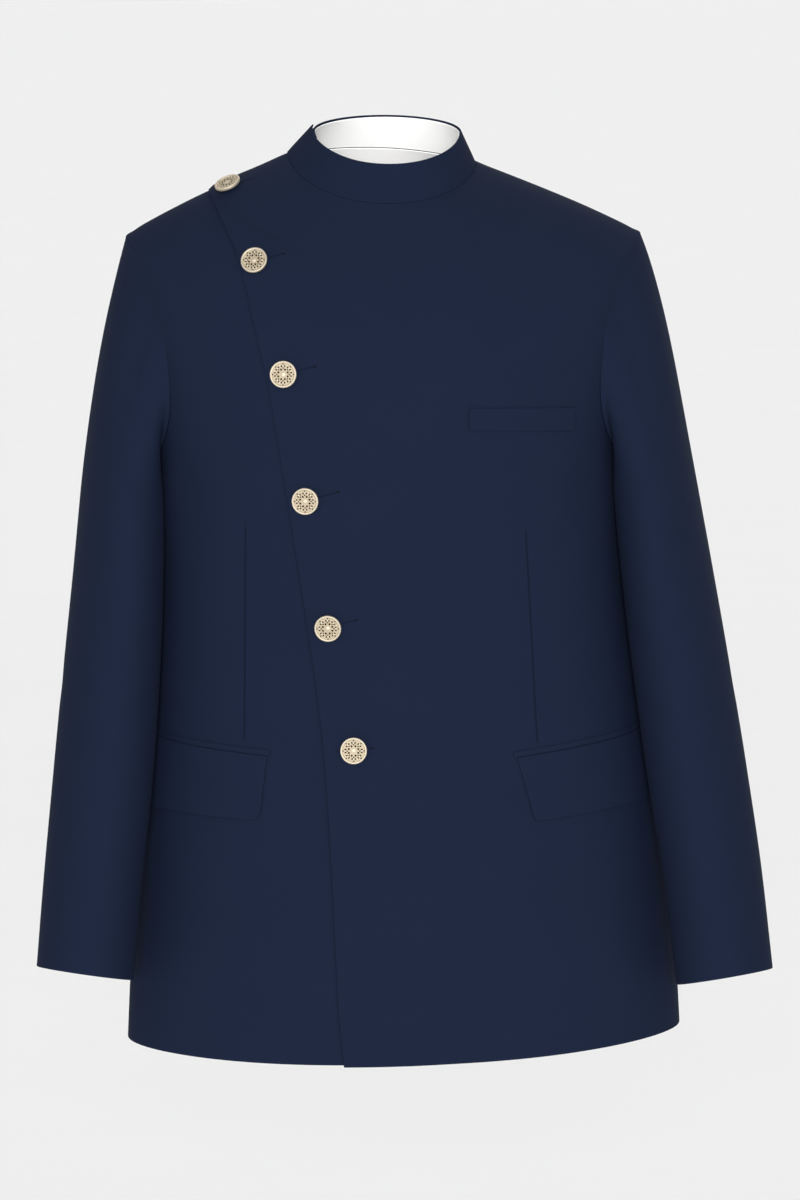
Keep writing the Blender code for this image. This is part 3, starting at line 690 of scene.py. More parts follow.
def suiting_material(name, darts=False):
    """Worsted wool suiting, woven as a fine twill and pressed flat: matt, with a short soft nap that
    catches light at its edges. The real ribs are 0.5 mm apart and are drawn coarser, to show."""
    cloth = bpy.context.scene.jacket_cloth
    nap = {"Sheen Weight": 0.015, "Sheen Roughness": 0.5, "Sheen Tint": shade(linear("#8e9ab8"), 1.0)}
    material, tree, shader = new_material(name, {"Roughness": 0.85, "Specular IOR Level": 0.05, **nap})
    place = place_on_cut(tree)
    scale = DIAGONAL_BANDS / (cloth.twill / MM)
    twill = {"Vector": place, "Scale": scale, "Distortion": 0.6, "Detail": 1.0}
    ribs = add_node(tree, "ShaderNodeTexWave", twill, bands_direction="DIAGONAL").outputs["Fac"]
    fine = {"Vector": place, "Scale": 1 / TUFT, "Detail": 3.0}
    broad = {"Vector": place, "Scale": 1 / CLOUD, "Detail": 2.0}
    fuzz, shades = (add_node(tree, "ShaderNodeTexNoise", size).outputs["Fac"] for size in (fine, broad))
    height = add_node(tree, "ShaderNodeMix", {0: 0.5, 2: ribs, 3: fuzz}, data_type="FLOAT").outputs[0]
    tone = add_node(tree, "ShaderNodeMix", {0: 0.3, 2: height, 3: shades}, data_type="FLOAT").outputs[0]
    tones = {0: tone, 6: shade(cloth.suiting, 0.86), 7: shade(cloth.suiting, 1.14)}
    colour = add_node(tree, "ShaderNodeMix", tones, data_type="RGBA").outputs[2]
    if darts:
        seam = dart_line(tree)
        sunk = {0: seam, 1: -DART_DEPTH, 2: height}
        height = add_node(tree, "ShaderNodeMath", sunk, operation="MULTIPLY_ADD").outputs[0]
        # Painted shade: the dart's sewn line is darkened towards a dark copy of the suiting, standing in
        # for the shade in its sunk groove.
        share = add_node(tree, "ShaderNodeMath", {0: seam, 1: DART_PAINTED_SHADE}, operation="MULTIPLY").outputs[0]
        painted_groove_shade = {0: share, 6: colour, 7: shade(cloth.suiting, 0.25)}
        colour = add_node(tree, "ShaderNodeMix", painted_groove_shade, data_type="RGBA").outputs[2]
    join_up(tree, shader, colour, height, CLOTH_RELIEF)
    return material


def lining_material():
    """White satin-back lining, woven very fine and pressed: smooth, a little glossy."""
    white = bpy.context.scene.jacket_cloth.lining
    material, tree, shader = new_material("white_satin_lining", {"Roughness": 0.5, "Sheen Weight": 0.15})
    place = place_on_cut(tree)
    satin = {"Vector": place, "Scale": STRAIGHT_BANDS / LINING_THREAD, "Distortion": 0.4}
    weave = add_node(tree, "ShaderNodeTexWave", satin, bands_direction="Y").outputs["Fac"]
    fine = {"Vector": place, "Scale": 1 / LINING_FUZZ, "Detail": 3.0}
    fuzz = add_node(tree, "ShaderNodeTexNoise", fine).outputs["Fac"]
    tones = {0: fuzz, 6: shade(white, 0.96), 7: shade(white, 1.03)}
    colour = add_node(tree, "ShaderNodeMix", tones, data_type="RGBA").outputs[2]
    join_up(tree, shader, colour, weave, LINING_RELIEF)
    return material


def thread_material(name, base):
    """Buttonhole twist: fine cotton thread, matt and about as dark as the cloth."""
    material, tree, shader = new_material(name, {"Roughness": 0.8, "Specular IOR Level": 0.1})
    place = add_node(tree, "ShaderNodeTexCoord").outputs["Object"]
    fine = {"Vector": place, "Scale": 1 / (STRAND * MM)}
    strands = add_node(tree, "ShaderNodeTexNoise", fine).outputs["Fac"]
    tones = {0: strands, 6: shade(base, 0.7), 7: shade(base, 1.35)}
    join_up(tree, shader, add_node(tree, "ShaderNodeMix", tones, data_type="RGBA").outputs[2])
    return material


def metal_material(name, colour, roughness, wear):
    """Gilt brass, struck from sheet and finished as satin: pale and even, with the finest wear."""
    material, tree, shader = new_material(name, {"Metallic": 1.0})
    place = add_node(tree, "ShaderNodeTexCoord").outputs["Object"]
    fine = {"Vector": place, "Scale": 1 / (WEAR_MARK * MM), "Detail": 3.0}
    marks = add_node(tree, "ShaderNodeTexNoise", fine).outputs["Fac"]
    tones = {0: marks, 6: shade(colour, 1 - wear), 7: shade(colour, 1 + wear)}
    tint = add_node(tree, "ShaderNodeMix", tones, data_type="RGBA").outputs[2]
    rough = add_node(tree, "ShaderNodeMapRange", {0: marks, 3: roughness - 0.08, 4: roughness + 0.08})
    tree.links.new(rough.outputs[0], shader.inputs["Roughness"])
    join_up(tree, shader, tint, marks, METAL_RELIEF)
    return material


@functools.lru_cache(maxsize=None)
def finish_of(name):
    """The material of a finish, made once."""
    buttons, sewing = bpy.context.scene.jacket_buttons, bpy.context.scene.jacket_sewing
    makers = {
        "suiting": lambda: suiting_material("worsted_twill_suiting"),
        "front_suiting": lambda: suiting_material("worsted_twill_suiting_with_darts", darts=True),
        "lining": lining_material,
        "thread": lambda: thread_material("polished_cotton_twist", sewing.thread),
        # Painted shadow: a near-black copy of the thread, laid as a strip in each buttonhole's slit and as
        # a dome at its eyelet, where there is only shade.
        "slit": lambda: thread_material("painted_slit_shadow", shade(sewing.thread, SLIT_PAINTED_SHADOW)[:3]),
        "gilt": lambda: metal_material("satin_gilt_brass", buttons.gilt, roughness=0.66, wear=0.05),
        "ground": lambda: metal_material("sunk_matt_gilt", buttons.ground, roughness=0.75, wear=0.08),
        # Painted shadow: near-black metal for the studs that stand in for the shade in the ornament's
        # pierced holes.
        "hole_shadow": lambda: metal_material("pierced_holes_painted_shadow", linear("#0f0c09"), roughness=0.7, wear=0.3),
    }
    return makers[name]()


# The body's panels

FINE_LEVELS = 400
ARMHOLE_ROWS = 60
YOKE_ROWS = 36
NECK_LINES = 0.045  # levels for one millimetre at the neck seam
FLUSH_LEVELS = (ARMPIT + 1.5, ARMPIT + 3.2)  # where the armhole's seam turns from soft to flush
NECK_GAP_LEVELS = 0.6  # over how many levels below the neck seam its gap opens
PANEL_WIDTHS = {"front_overlap": 330, "front_underlap": 230, "back": 240}


def body_rows(step):
    """The levels of the body's rows: even up to the armpit, by the armhole's turn, then the yoke."""
    fine = np.linspace(HEM, ARMPIT, FINE_LEVELS)
    low, high = FORM[HEM].side, FORM[ARMPIT].side
    heights = np.linspace(low + EDGE_LINES[-1], high, int((high - low) / step))[:-1]
    heights = np.concatenate([low + EDGE_LINES[:-1], heights])
    below = np.interp(heights, level_at(fine).side, fine)
    turns = np.linspace(0, math.pi, ARMHOLE_ROWS + 1)
    beside = ARMPIT + (TIP - ARMPIT) * (1 - np.cos(turns)) / 2
    neck = NECK - EDGE_LINES[::-1] * NECK_LINES
    above = np.linspace(TIP, neck[0], YOKE_ROWS)[1:-1]
    meets = bisect([TIP], [NECK], lambda v: body_point(-90.0, v)[..., 0] < PLACKET[-1].across)
    return np.sort(np.concatenate([below, beside, above, meets, neck]))[:, None]


def columns(start, finish, v, count):
    """Angles from start to finish on each row, close together near both borders."""
    first = start + EDGE_LINES * arc_to_degrees(1.0, start, v)
    last = finish - EDGE_LINES[::-1] * arc_to_degrees(1.0, finish, v)
    return filled(first, last, count + 1)


def dart_marks(side, points):
    """How far each point lies beside its front's dart, and how far down it."""
    (a, b), (c, d) = DARTS[side]
    length = math.hypot(c - a, d - b)
    x, z = points[..., 0] - a, points[..., 2] - b
    aside, along = x * (d - b) - z * (c - a), x * (c - a) + z * (d - b)
    return {"dart_aside": aside / length, "dart_along": along / length**2}


def armhole_round(v):
    """How far the edges at side, armhole and shoulder are rounded: least where they are pressed flush."""
    return SEAM_ROUND + (FLUSH_ROUND - SEAM_ROUND) * smooth(*FLUSH_LEVELS, v)


def body_panel(node, cut, borders, sides, creases, dart=0, lift=None, hem=0.0):
    """One panel of the body between two borders, which are functions of the level."""
    cloth = bpy.context.scene.jacket_cloth
    step = cloth.grid / MM
    v = body_rows(step)
    start, finish = (border(v) for border in borders)
    angles = columns(start, finish, v, int(PANEL_WIDTHS[cut] / step))
    points, normals = body_point(angles, v), body_normal(angles, v)
    neck_gap = CLOSE_GAP / 2 * smooth(NECK - NECK_GAP_LEVELS, NECK, v)
    points[..., 2] -= hem * np.maximum(0, 1 - v) + neck_gap
    raised = lift(angles, v) if lift else np.zeros_like(angles)
    raised = raised - cloth.creases * crease_depth(creases, points[..., 0], points[..., 2])
    rounds = [edge(v) if callable(edge) else edge for edge in sides] + [FOLD_ROUND, SEAM_ROUND]
    extra = dart_marks(dart, points) if dart else None
    material = finish_of("front_suiting" if dart else "suiting")
    thing = shell(f"{node}_cloth", points, normals, raised, BODY_WALL, rounds, material, extra)
    finish_sheet(thing, node)


def half_gap(v, limit):
    return arc_to_degrees(CLOSE_GAP / 2, limit, v)


def body_panels():
    def front_left(v):
        return -front_limit(v) + half_gap(v, -front_limit(v))

    def front_right(v):
        return front_limit(v) - half_gap(v, front_limit(v))

    def slant(v):
        return np.maximum(placket_angle(v), front_left(v))

    def side_of_back(v):
        return back_limit(v) + half_gap(v, back_limit(v))

    def middle_of_back(v):
        return 180 - half_gap(v, np.full_like(v, 180.0))

    def mirrored(border):
        return lambda v: 360 - border(v)

    overlap, underlap = (slant, front_right), (front_left, underlap_limit)
    back_right = (side_of_back, middle_of_back)
    back_left = (mirrored(middle_of_back), mirrored(side_of_back))
    fold_first, seam_last = (FOLD_ROUND, armhole_round), (armhole_round, SEAM_ROUND)
    body_panel("front_overlap", "front_overlap", overlap, fold_first, FRONT_CREASES, 1,
               overlap_lift, HEM_STEP)
    body_panel("front_underlap", "front_underlap", underlap, seam_last, FRONT_CREASES, -1)
    body_panel("back_right", "back", back_right, seam_last, BACK_CREASES)
    body_panel("back_left", "back", back_left, seam_last[::-1], BACK_CREASES)


# The sleeves

# The mesh of a sleeve: the rows of its cap, the cap's length, and the degrees between columns
CAP_ROWS = 50
CAP_LENGTH = 120
TURN_STEP = 3.0

# How far a cap's curve runs straight on from the armhole and up from the bicep: at the armhole's
# foot, how much more at its top, and the power of the rise between
CAP_FROM_HOLE = (7, 35, 1.3)
CAP_FROM_ARM = (6, 84, 1.2)

# Where a cap is moved clear of the body: the shares of its length at which the gap and the move are
# full, and the shares of the armhole's height, down from its top, over which the move sets in
GAP_FULL = 0.16
MOVE_FULL = 0.08
MOVE_DOWN = (0.25, 0.6)

# Over which shares of the armhole's height a cap leaves it at the top and at the foot, over which its
# edge turns from flush to soft, and over which share of its length the sleeve's wall comes out
LEAVES_AT_TOP = (0.7, 1.0)
LEAVES_AT_FOOT = (0.2, 1.0)
SOFT_DOWN = (0.2, 0.9)
WALL_FULL = 0.6


def armhole_place(side, turn):
    """The angle and level of the armhole seam, where turn 0 is the shoulder tip and 90 the front."""
    cosine = np.cos(np.radians(turn))
    v = ARMPIT + (TIP - ARMPIT) * (1 + cosine) / 2
    full = np.where(np.mod(turn, 360) < 180, ARMHOLE_FRONT, -ARMHOLE_BACK)
    reach = full * np.sqrt(np.clip(1 - np.abs(cosine) ** ARMHOLE_POWER, 0, 1))
    return side * (level_at(v).seam - reach), v


def armhole_frame(side, turn):
    """The armhole seam's points, the way into the hole along the cloth, and the way out of it."""
    point, out = body_point(*armhole_place(side, turn)), body_normal(*armhole_place(side, turn))
    along = body_point(*armhole_place(side, turn + 3)) - body_point(*armhole_place(side, turn - 3))
    half = np.array((ARMPIT + TIP) / 2)
    middle = body_point(side * level_at(half).seam, half)
    inward = unit(np.cross(along, out))
    inward *= np.where(np.sum(inward * (middle - point), -1, keepdims=True) < 0, -1, 1)
    return point, inward, out


def side_of_body(y, z):
    """The middle of the body's side and its half width, at places behind or before it."""
    fine = level_at(HEM + np.arange((TIP - HEM) * LEVEL_PARTS + 1) / LEVEL_PARTS)
    ahead = y < 0
    each = [np.asarray(part).reshape(-1, *[1] * y.ndim) for part in fine[1:]]
    rows = Level("", *each)
    depths = np.where(ahead, rows.front, rows.back)
    share = np.minimum(1, np.abs(y) / depths)
    heights = rows.side + np.where(ahead, rows.dip_front, rows.dip_back) * share**rows.fall
    low = np.clip((heights < z).sum(0) - 1, 0, len(heights) - 2)

    def at(values, index):
        full = np.broadcast_to(values, heights.shape)
        return np.take_along_axis(full, index[None], 0)[0]

    under, over = at(heights, low), at(heights, low + 1)
    part = np.clip((z - under) / (over - under), 0, 1)

    def mixed(values):
        return at(values, low) + (at(values, low + 1) - at(values, low)) * part

    share = np.minimum(1, np.abs(y) / mixed(depths))
    square = at(rows.square, low)
    return mixed(rows.centre), mixed(rows.half) * (1 - share**square) ** (1 / square)


def clear_of_body(points, side, gap):
    """Moves a sleeve's points sideways until they are a gap outside the body, softly."""
    centre, edge = side_of_body(points[..., 1], points[..., 2])
    apart = (side * (points[..., 0] - centre) - edge - gap) / SLEEVE_SOFT
    moved = points.copy()
    moved[..., 0] = centre + side * (edge + gap + SLEEVE_SOFT * np.logaddexp(0, apart))
    return moved


def arm_point(side, turn, w):
    """Points of a sleeve's sections below the bicep, w in rows of SLEEVE."""
    numbers = curve_through([row[1:] for row in SLEEVE], range(len(SLEEVE)), w)
    row = Sleeve("", *np.moveaxis(numbers, -1, 0))
    angle, swing = np.radians(turn), np.radians(row.turn)
    out, ahead = row.half_out * np.cos(angle), row.half_fore * np.sin(angle)
    across = out * np.cos(swing) - ahead * np.sin(swing)
    forward = ahead * np.cos(swing) + out * np.sin(swing)
    lift = CUFF_LIFT[side] * w / (len(SLEEVE) - 1)
    height = row.level + lift + row.slant * np.cos(angle) + row.rise * np.sin(angle)
    return np.stack([row.sway + side * (row.out + across), row.fore - forward, height], -1)


def cap_reach(row, top):
    """How far a cap's curve runs straight on, for how high up the armhole it starts."""
    foot, more, power = row
    return foot + more * top**power


def sleeve_point(side, turn, w):
    """Points of the sleeve: w from 0 at the armhole to 1 at the bicep, then on down to the cuff."""
    turn, w = np.broadcast_arrays(np.asarray(turn, float), np.asarray(w, float))
    arm = clear_of_body(arm_point(side, turn, np.maximum(w, 1) - 1), side, SLEEVE_CLEAR)
    top = ((1 + np.cos(np.radians(turn))) / 2)[..., None]
    seam, inward, out = armhole_frame(side, turn)
    leaves_top, leaves_foot = smooth(*LEAVES_AT_TOP, top), smooth(*LEAVES_AT_FOOT, 1 - top)
    rise = np.radians(LEAVE_TOP[side] * leaves_top + LEAVE_FOOT * leaves_foot)
    start = seam + inward * CLOSE_GAP / 2 + out * CLOSE_GAP * (1 - top)
    end, lower = (arm_point(side, turn, np.full_like(w, at)) for at in (0.0, 0.25))
    first = start + (inward * np.cos(rise) + out * np.sin(rise)) * cap_reach(CAP_FROM_HOLE, top)
    second = end + unit(end - lower) * cap_reach(CAP_FROM_ARM, top)
    t = np.minimum(w, 1)[..., None]
    cap = start * (1 - t) ** 3 + first * 3 * t * (1 - t) ** 2 + second * 3 * t * t * (1 - t) + end * t**3
    cleared = clear_of_body(cap, side, SLEEVE_CLEAR * smooth(0, GAP_FULL, w))
    cap = cap + (cleared - cap) * smooth(0, MOVE_FULL, t) * smooth(*MOVE_DOWN, 1 - top)
    return np.where(w[..., None] < 1, cap, arm)


def sleeve_normal(side, turn, w):
    sleeve = functools.partial(sleeve_point, side)
    return way_out(sleeve, turn, w, nudge=2.0, step=0.03, ends=(0, len(SLEEVE))) * side


def sleeve_piece(node, side, start, end):
    """One piece of a sleeve between two seams, given as turns round the arm."""
    cloth = bpy.context.scene.jacket_cloth
    arm = FORM[ARMPIT].side - SLEEVE[-1].level
    rows_down = np.linspace(1, len(SLEEVE), int(arm / (cloth.grid / MM)))[:-1]
    near = EDGE_LINES / CAP_LENGTH
    foot = len(SLEEVE) - EDGE_LINES[::-1] * (len(SLEEVE) - 1) / arm
    cap_rows = np.linspace(near[-1], 1, CAP_ROWS)[1:-1]
    w = np.concatenate([near, cap_rows, rows_down[rows_down < foot[0]], foot])[:, None]
    around, beyond = (
        np.linalg.norm(sleeve_point(side, seam + 1.0, w) - sleeve_point(side, seam - 1.0, w), axis=-1) / 2
        for seam in (start, end)
    )
    first = start + (CLOSE_GAP / 2 + EDGE_LINES) / around
    last = end - (CLOSE_GAP / 2 + EDGE_LINES[::-1]) / beyond
    turns = filled(first, last, int((end - start) / TURN_STEP))
    points, normals = sleeve_point(side, turns, w), sleeve_normal(side, turns, w)
    heights = points[..., 2]
    creased = sum(crease_depth(SLEEVE_CREASES[side], turns + whole, heights) for whole in (-360, 0))
    under_arm = smooth(*SOFT_DOWN, (1 - np.cos(np.radians(turns[:1]))) / 2)
    rounds = (SEAM_ROUND, SEAM_ROUND, FLUSH_ROUND + (SEAM_ROUND - FLUSH_ROUND) * under_arm, FOLD_ROUND)
    lift = SLEEVE_WALL * smooth(0, WALL_FULL, w) - cloth.creases * creased
    thing = shell(f"{node}_cloth", points, normals, lift, SLEEVE_WALL, rounds, finish_of("suiting"))
    finish_sheet(thing, node)


def sleeves():
    front, back = FRONT_SLEEVE_SEAM, BACK_SLEEVE_SEAM
    for side, word in ((-1, "left"), (1, "right")):
        sleeve_piece(f"top_sleeve_{word}", side, back, front)
        sleeve_piece(f"under_sleeve_{word}", side, front, back + 360)


# The collar and the white linings

COLLAR_COLUMNS = 130
COLLAR_ROWS = 10
COLLAR_MM_PER_DEGREE = 1.2
COLLAR_LINING_TOP = 0.965
LINING_COLUMNS = 68
LINING_ROWS = 18
LINING_DEPTH = 60
LINING_MM_PER_DEGREE = 1.5
LINING_BOW = 1.5  # levels by which the back neck lining's foot rises at its ends
LINING_TOP = NECK - 0.02
COLLAR_TURN = 0.3  # the share of the collar's height over which it turns up out of the body's slope


def collar_point(degrees, share):
    """Points of the collar's outer face, share from 0 at the neck seam to 1 at the top."""
    foot = body_point(degrees, np.full_like(degrees, NECK))
    top = ring_point(COLLAR_TOP, degrees)
    return foot + (top - foot) * share[..., None]


def collar_normal(degrees, share):
    out = way_out(collar_point, degrees, share, nudge=1.5, step=0.1, ends=(0, 1))
    seam = body_normal(degrees, np.full_like(degrees, NECK))
    return unit(seam + (out - seam) * smooth(0, COLLAR_TURN, share)[..., None])


def collar_band(node, ends, high, inset, wall, slot):
    """The collar or its lining: from the neck seam up to a share of the collar's height."""
    start, end = ends
    low = CLOSE_GAP / COLLAR_HEIGHT
    beside = EDGE_LINES / COLLAR_MM_PER_DEGREE
    inner = np.linspace(start + beside[-1], end - beside[-1], COLLAR_COLUMNS)[1:-1]
    angles = np.concatenate([start + beside, inner, end - beside[::-1]])
    near = EDGE_LINES / COLLAR_HEIGHT
    rows = np.linspace(low + near[-1], high - near[-1], COLLAR_ROWS)[1:-1]
    shares = np.concatenate([low + near, rows, high - near[::-1]])
    degrees, share = np.broadcast_arrays(angles[None], shares[:, None])
    points, normals = collar_point(degrees, share), collar_normal(degrees, share)
    over = overlap_lift(degrees, np.full_like(degrees, NECK))
    lift = np.where(degrees < 90, over, 0.0) - inset
    rounds = (FOLD_ROUND, FOLD_ROUND, SEAM_ROUND, FOLD_ROUND)
    thing = shell(f"{node}_cloth", points, normals, lift, wall, rounds, finish_of(slot))
    finish_sheet(thing, node)


def back_neck_lining():
    """The white lining behind the neck, inside both back panels, with a curved foot."""
    start, end = BACK_LINING_SPAN
    beside = EDGE_LINES / ((end - start) * LINING_MM_PER_DEGREE)
    near = EDGE_LINES / LINING_DEPTH
    share = np.concatenate([beside, np.linspace(0, 1, LINING_COLUMNS)[1:-1], 1 - beside[::-1]])
    down = np.concatenate([near, np.linspace(0, 1, LINING_ROWS)[1:-1], 1 - near[::-1]])
    share, down = np.broadcast_arrays(np.sort(share)[None], np.sort(down)[:, None])
    rise = LINING_BOW * (2 * share - 1) ** 4
    v = BACK_LINING_FOOT + rise + (LINING_TOP - BACK_LINING_FOOT - rise) * down
    angles = start + (end - start) * share
    lift = np.full_like(angles, -BODY_WALL - LINING_GAP)
    rounds = (SEAM_ROUND, SEAM_ROUND, FOLD_ROUND, SEAM_ROUND)
    points, normals = body_point(angles, v), body_normal(angles, v)
    white = finish_of("lining")
    thing = shell("back_neck_lining_cloth", points, normals, lift, LINING_WALL, rounds, white)
    finish_sheet(thing, "back_neck_lining")


def collar():
    inset = COLLAR_WALL + SEAM_GAP
    collar_band("collar", COLLAR_ENDS, 1.0, 0.0, COLLAR_WALL, "suiting")
    collar_band("collar_lining", COLLAR_LINING_ENDS, COLLAR_LINING_TOP, inset, LINING_WALL, "lining")
    back_neck_lining()


# The pockets

FLARE_FROM = 0.2  # the share of a flap's depth where it starts to stand off
PATCH_COLUMNS = 60
PATCH_ROW = 3
PATCH_TURN = 0.12  # degrees for one millimetre, for a first guess of how far round a place is


def patch(node, pocket, top, foot, wall, flare):
    """A flat piece that lies on a front panel: top and foot are its edges below the pocket's corner."""
    corner = place_on_front(pocket.side * pocket.inner, pocket.top)[0]
    depth = foot - top
    beside = EDGE_LINES / pocket.length
    across = np.concatenate([beside, np.linspace(0, 1, PATCH_COLUMNS)[2:-2], 1 - beside[::-1]])
    near = EDGE_LINES[EDGE_LINES < depth / 3] / depth
    rows = np.linspace(near[-1], 1 - near[-1], max(3, int(depth / PATCH_ROW)))[1:-1]
    down = np.concatenate([near, rows, 1 - near[::-1]])
    along, down = np.broadcast_arrays(across[None], down[:, None])
    drop = top + depth * down
    near_foot = np.maximum(0, pocket.corner - (foot - drop))
    rounding = pocket.corner - np.sqrt(np.maximum(0, pocket.corner**2 - near_foot**2))
    start = pocket.slant * drop + rounding
    reach = start + (pocket.length - start) * along
    slope = pocket.slope_top + (pocket.slope_foot - pocket.slope_top) * down
    height = pocket.top + slope * reach - drop
    low, high = np.full_like(height, HEM), np.full_like(height, TIP)
    v = bisect(low, high, lambda at: body_point(corner, at)[..., 2] < height)
    degrees = corner + pocket.side * arc_to_degrees(reach, corner + pocket.side * reach * PATCH_TURN, v)
    v = bisect(low, high, lambda at: body_point(degrees, at)[..., 2] < height)
    lift = PATCH_GAP + flare * smooth(FLARE_FROM, 1, down) + wall
    rounds = [FOLD_ROUND if flare else THIN_ROUND] * 4
    points, normals = body_point(degrees, v), body_normal(degrees, v)
    thing = shell(f"{node}_cloth", points, normals, lift, wall, rounds, finish_of("suiting"))
    finish_sheet(thing, node)


def pockets():
    for flap, word, front in zip(FLAPS, ("left", "right"), ("underlap", "overlap")):
        patch(f"flap_{word}", flap, 0.0, flap.depth, FLAP_WALL, FLAP_FLARE)
        jet = flap._replace(corner=JET_CORNER, slant=0.0, slope_foot=flap.slope_top)
        jet = jet._replace(inner=flap.inner - JET_OVERHANG)
        patch(f"jet_{word}", jet, -JET_HEIGHT - SEAM_GAP, -SEAM_GAP, JET_WALL, 0.0)
    patch("breast_welt", WELT, 0.0, WELT.depth, WELT_WALL, 0.0)


# Trees of geometry nodes


def new_tree(name, inputs):
    """A geometry tree with named inputs, and its group input node."""
    tree = bpy.data.node_groups.new(name, "GeometryNodeTree")
    for key, kind in inputs.items():
        tree.interface.new_socket(key, in_out="INPUT", socket_type=f"NodeSocket{kind}")
    tree.interface.new_socket("Result", in_out="OUTPUT", socket_type="NodeSocketGeometry")
    return tree, add_node(tree, "NodeGroupInput").outputs


def finish_tree(tree, instances, material):
    """Ends a tree: makes its instances real and gives them their finish."""
    real = add_node(tree, "GeometryNodeRealizeInstances", {"Geometry": instances}).outputs[0]
    last = add_node(tree, "GeometryNodeSetMaterial", {"Geometry": real, "Material": material}).outputs[0]
    add_node(tree, "NodeGroupOutput", {0: last})


def grown(tree, mesh, **values):
    """The plain mesh that a tree makes from a mesh with these inputs."""
    thing = add_object("grown", mesh)
    modifier = thing.modifiers.new("tree", "NODES")
    modifier.node_group = tree
    sockets = {item.name: item.identifier for item in tree.interface.items_tree if item.in_out == "INPUT"}
    for key, value in values.items():
        modifier[sockets[key]] = value
    made = bpy.data.meshes.new_from_object(thing.evaluated_get(bpy.context.evaluated_depsgraph_get()))
    bpy.data.objects.remove(thing)
    return made


@functools.lru_cache(maxsize=None)
def stud_ring_tree():
    """Rounded studs set evenly round a circle, each one lying along its own radius."""
    inputs = {"Geometry": "Geometry", "Count": "Int", "Radius": "Float", "Turn": "Float"}
    inputs |= {"Height": "Float", "Size": "Vector", "Finish": "Material"}
    tree, given = new_tree("stud_ring", inputs)
    index = add_node(tree, "GeometryNodeInputIndex").outputs[0]
    share = add_node(tree, "ShaderNodeMath", {0: index, 1: given["Count"]}, operation="DIVIDE").outputs[0]
    turn = {0: share, 1: math.tau, 2: given["Turn"]}
    angle = add_node(tree, "ShaderNodeMath", turn, operation="MULTIPLY_ADD").outputs[0]
    spoke = add_node(tree, "ShaderNodeCombineXYZ", {0: given["Radius"], 2: given["Height"]}).outputs[0]
    turned_spoke = {"Vector": spoke, "Angle": angle}
    place = add_node(tree, "ShaderNodeVectorRotate", turned_spoke, rotation_type="Z_AXIS").outputs[0]
    facing = add_node(tree, "ShaderNodeCombineXYZ", {2: angle}).outputs[0]
    points = add_node(tree, "GeometryNodePoints", {"Count": given["Count"], "Position": place}).outputs[0]
    sphere = {"Segments": 12, "Rings": 8, "Radius": 1.0}
    stud = add_node(tree, "GeometryNodeMeshUVSphere", sphere).outputs["Mesh"]
    ring = {"Points": points, "Instance": stud, "Rotation": facing, "Scale": given["Size"]}
    studs = add_node(tree, "GeometryNodeInstanceOnPoints", ring).outputs[0]
    finish_tree(tree, studs, given["Finish"])
    return tree


@functools.lru_cache(maxsize=None)
def buttonhole_tree():
    """Stitches on both sides of a line, a way away from it, or on the line itself."""
    inputs = {"Geometry": "Geometry", "Facing": "Vector", "Pitch": "Float", "Size": "Vector"}
    inputs |= {"Away": "Float", "Finish": "Material"}
    tree, given = new_tree("buttonhole", inputs)
    line = add_node(tree, "GeometryNodeMeshToCurve", {0: given["Geometry"]}).outputs[0]
    even = {"Curve": line, "Length": given["Pitch"]}
    steps = add_node(tree, "GeometryNodeResampleCurve", even, mode="LENGTH").outputs[0]
    tangent = add_node(tree, "GeometryNodeInputTangent").outputs[0]
    outward = {"Vector": given["Facing"]}
    up = add_node(tree, "FunctionNodeAlignRotationToVector", outward, axis="Z").outputs[0]
    ahead = {"Rotation": up, "Vector": tangent}
    turn = add_node(tree, "FunctionNodeAlignRotationToVector", ahead, axis="X", pivot_axis="Z").outputs[0]
    sphere = {"Segments": 8, "Rings": 6, "Radius": 1.0}
    ball = add_node(tree, "GeometryNodeMeshUVSphere", sphere).outputs["Mesh"]
    both = add_node(tree, "GeometryNodeJoinGeometry")
    for way in (1.0, -1.0):
        aside = {0: given["Away"], 1: way}
        shift = add_node(tree, "ShaderNodeMath", aside, operation="MULTIPLY").outputs[0]
        move = add_node(tree, "ShaderNodeCombineXYZ", {1: shift}).outputs[0]
        placed = {"Geometry": ball, "Translation": move, "Scale": given["Size"]}
        tree.links.new(add_node(tree, "GeometryNodeTransform", placed).outputs[0], both.inputs[0])
    row = {"Points": steps, "Instance": both.outputs[0], "Rotation": turn}
    stitches = add_node(tree, "GeometryNodeInstanceOnPoints", row).outputs[0]
    finish_tree(tree, stitches, given["Finish"])
    return tree


# Buttons and buttonholes

BUTTON_STEPS = 72
SHARP_ANGLE = 40.0


def mesh_of(name, shape, finishes):
    """The mesh of a shape, with its finishes."""
    mesh = bpy.data.meshes.new(name)
    shape.to_mesh(mesh)
    shape.free()
    for material in finishes:
        mesh.materials.append(material)
    return mesh


def turned(profile, steps, finishes):
    """A mesh of a profile turned round the Z axis. A profile's row is a radius, a height and the
    number of the finish of the band that starts there."""
    shape = bmesh.new()
    rings = []
    for radius, height, _ in profile:
        spots = steps if radius > 0 else 1
        turns = [math.tau * k / steps for k in range(spots)]
        rings.append([shape.verts.new((radius * math.cos(a), radius * math.sin(a), height)) for a in turns])
    for (_, _, number), first, second in zip(profile, rings, rings[1:]):
        for k in range(steps):
            nearby = (first[k % len(first)], second[k % len(second)])
            beyond = (second[(k + 1) % len(second)], first[(k + 1) % len(first)])
            face = shape.faces.new(tuple(dict.fromkeys(nearby + beyond)))
            face.material_index = number
    bmesh.ops.recalc_face_normals(shape, faces=shape.faces)
    return mesh_of("turned", shape, finishes)


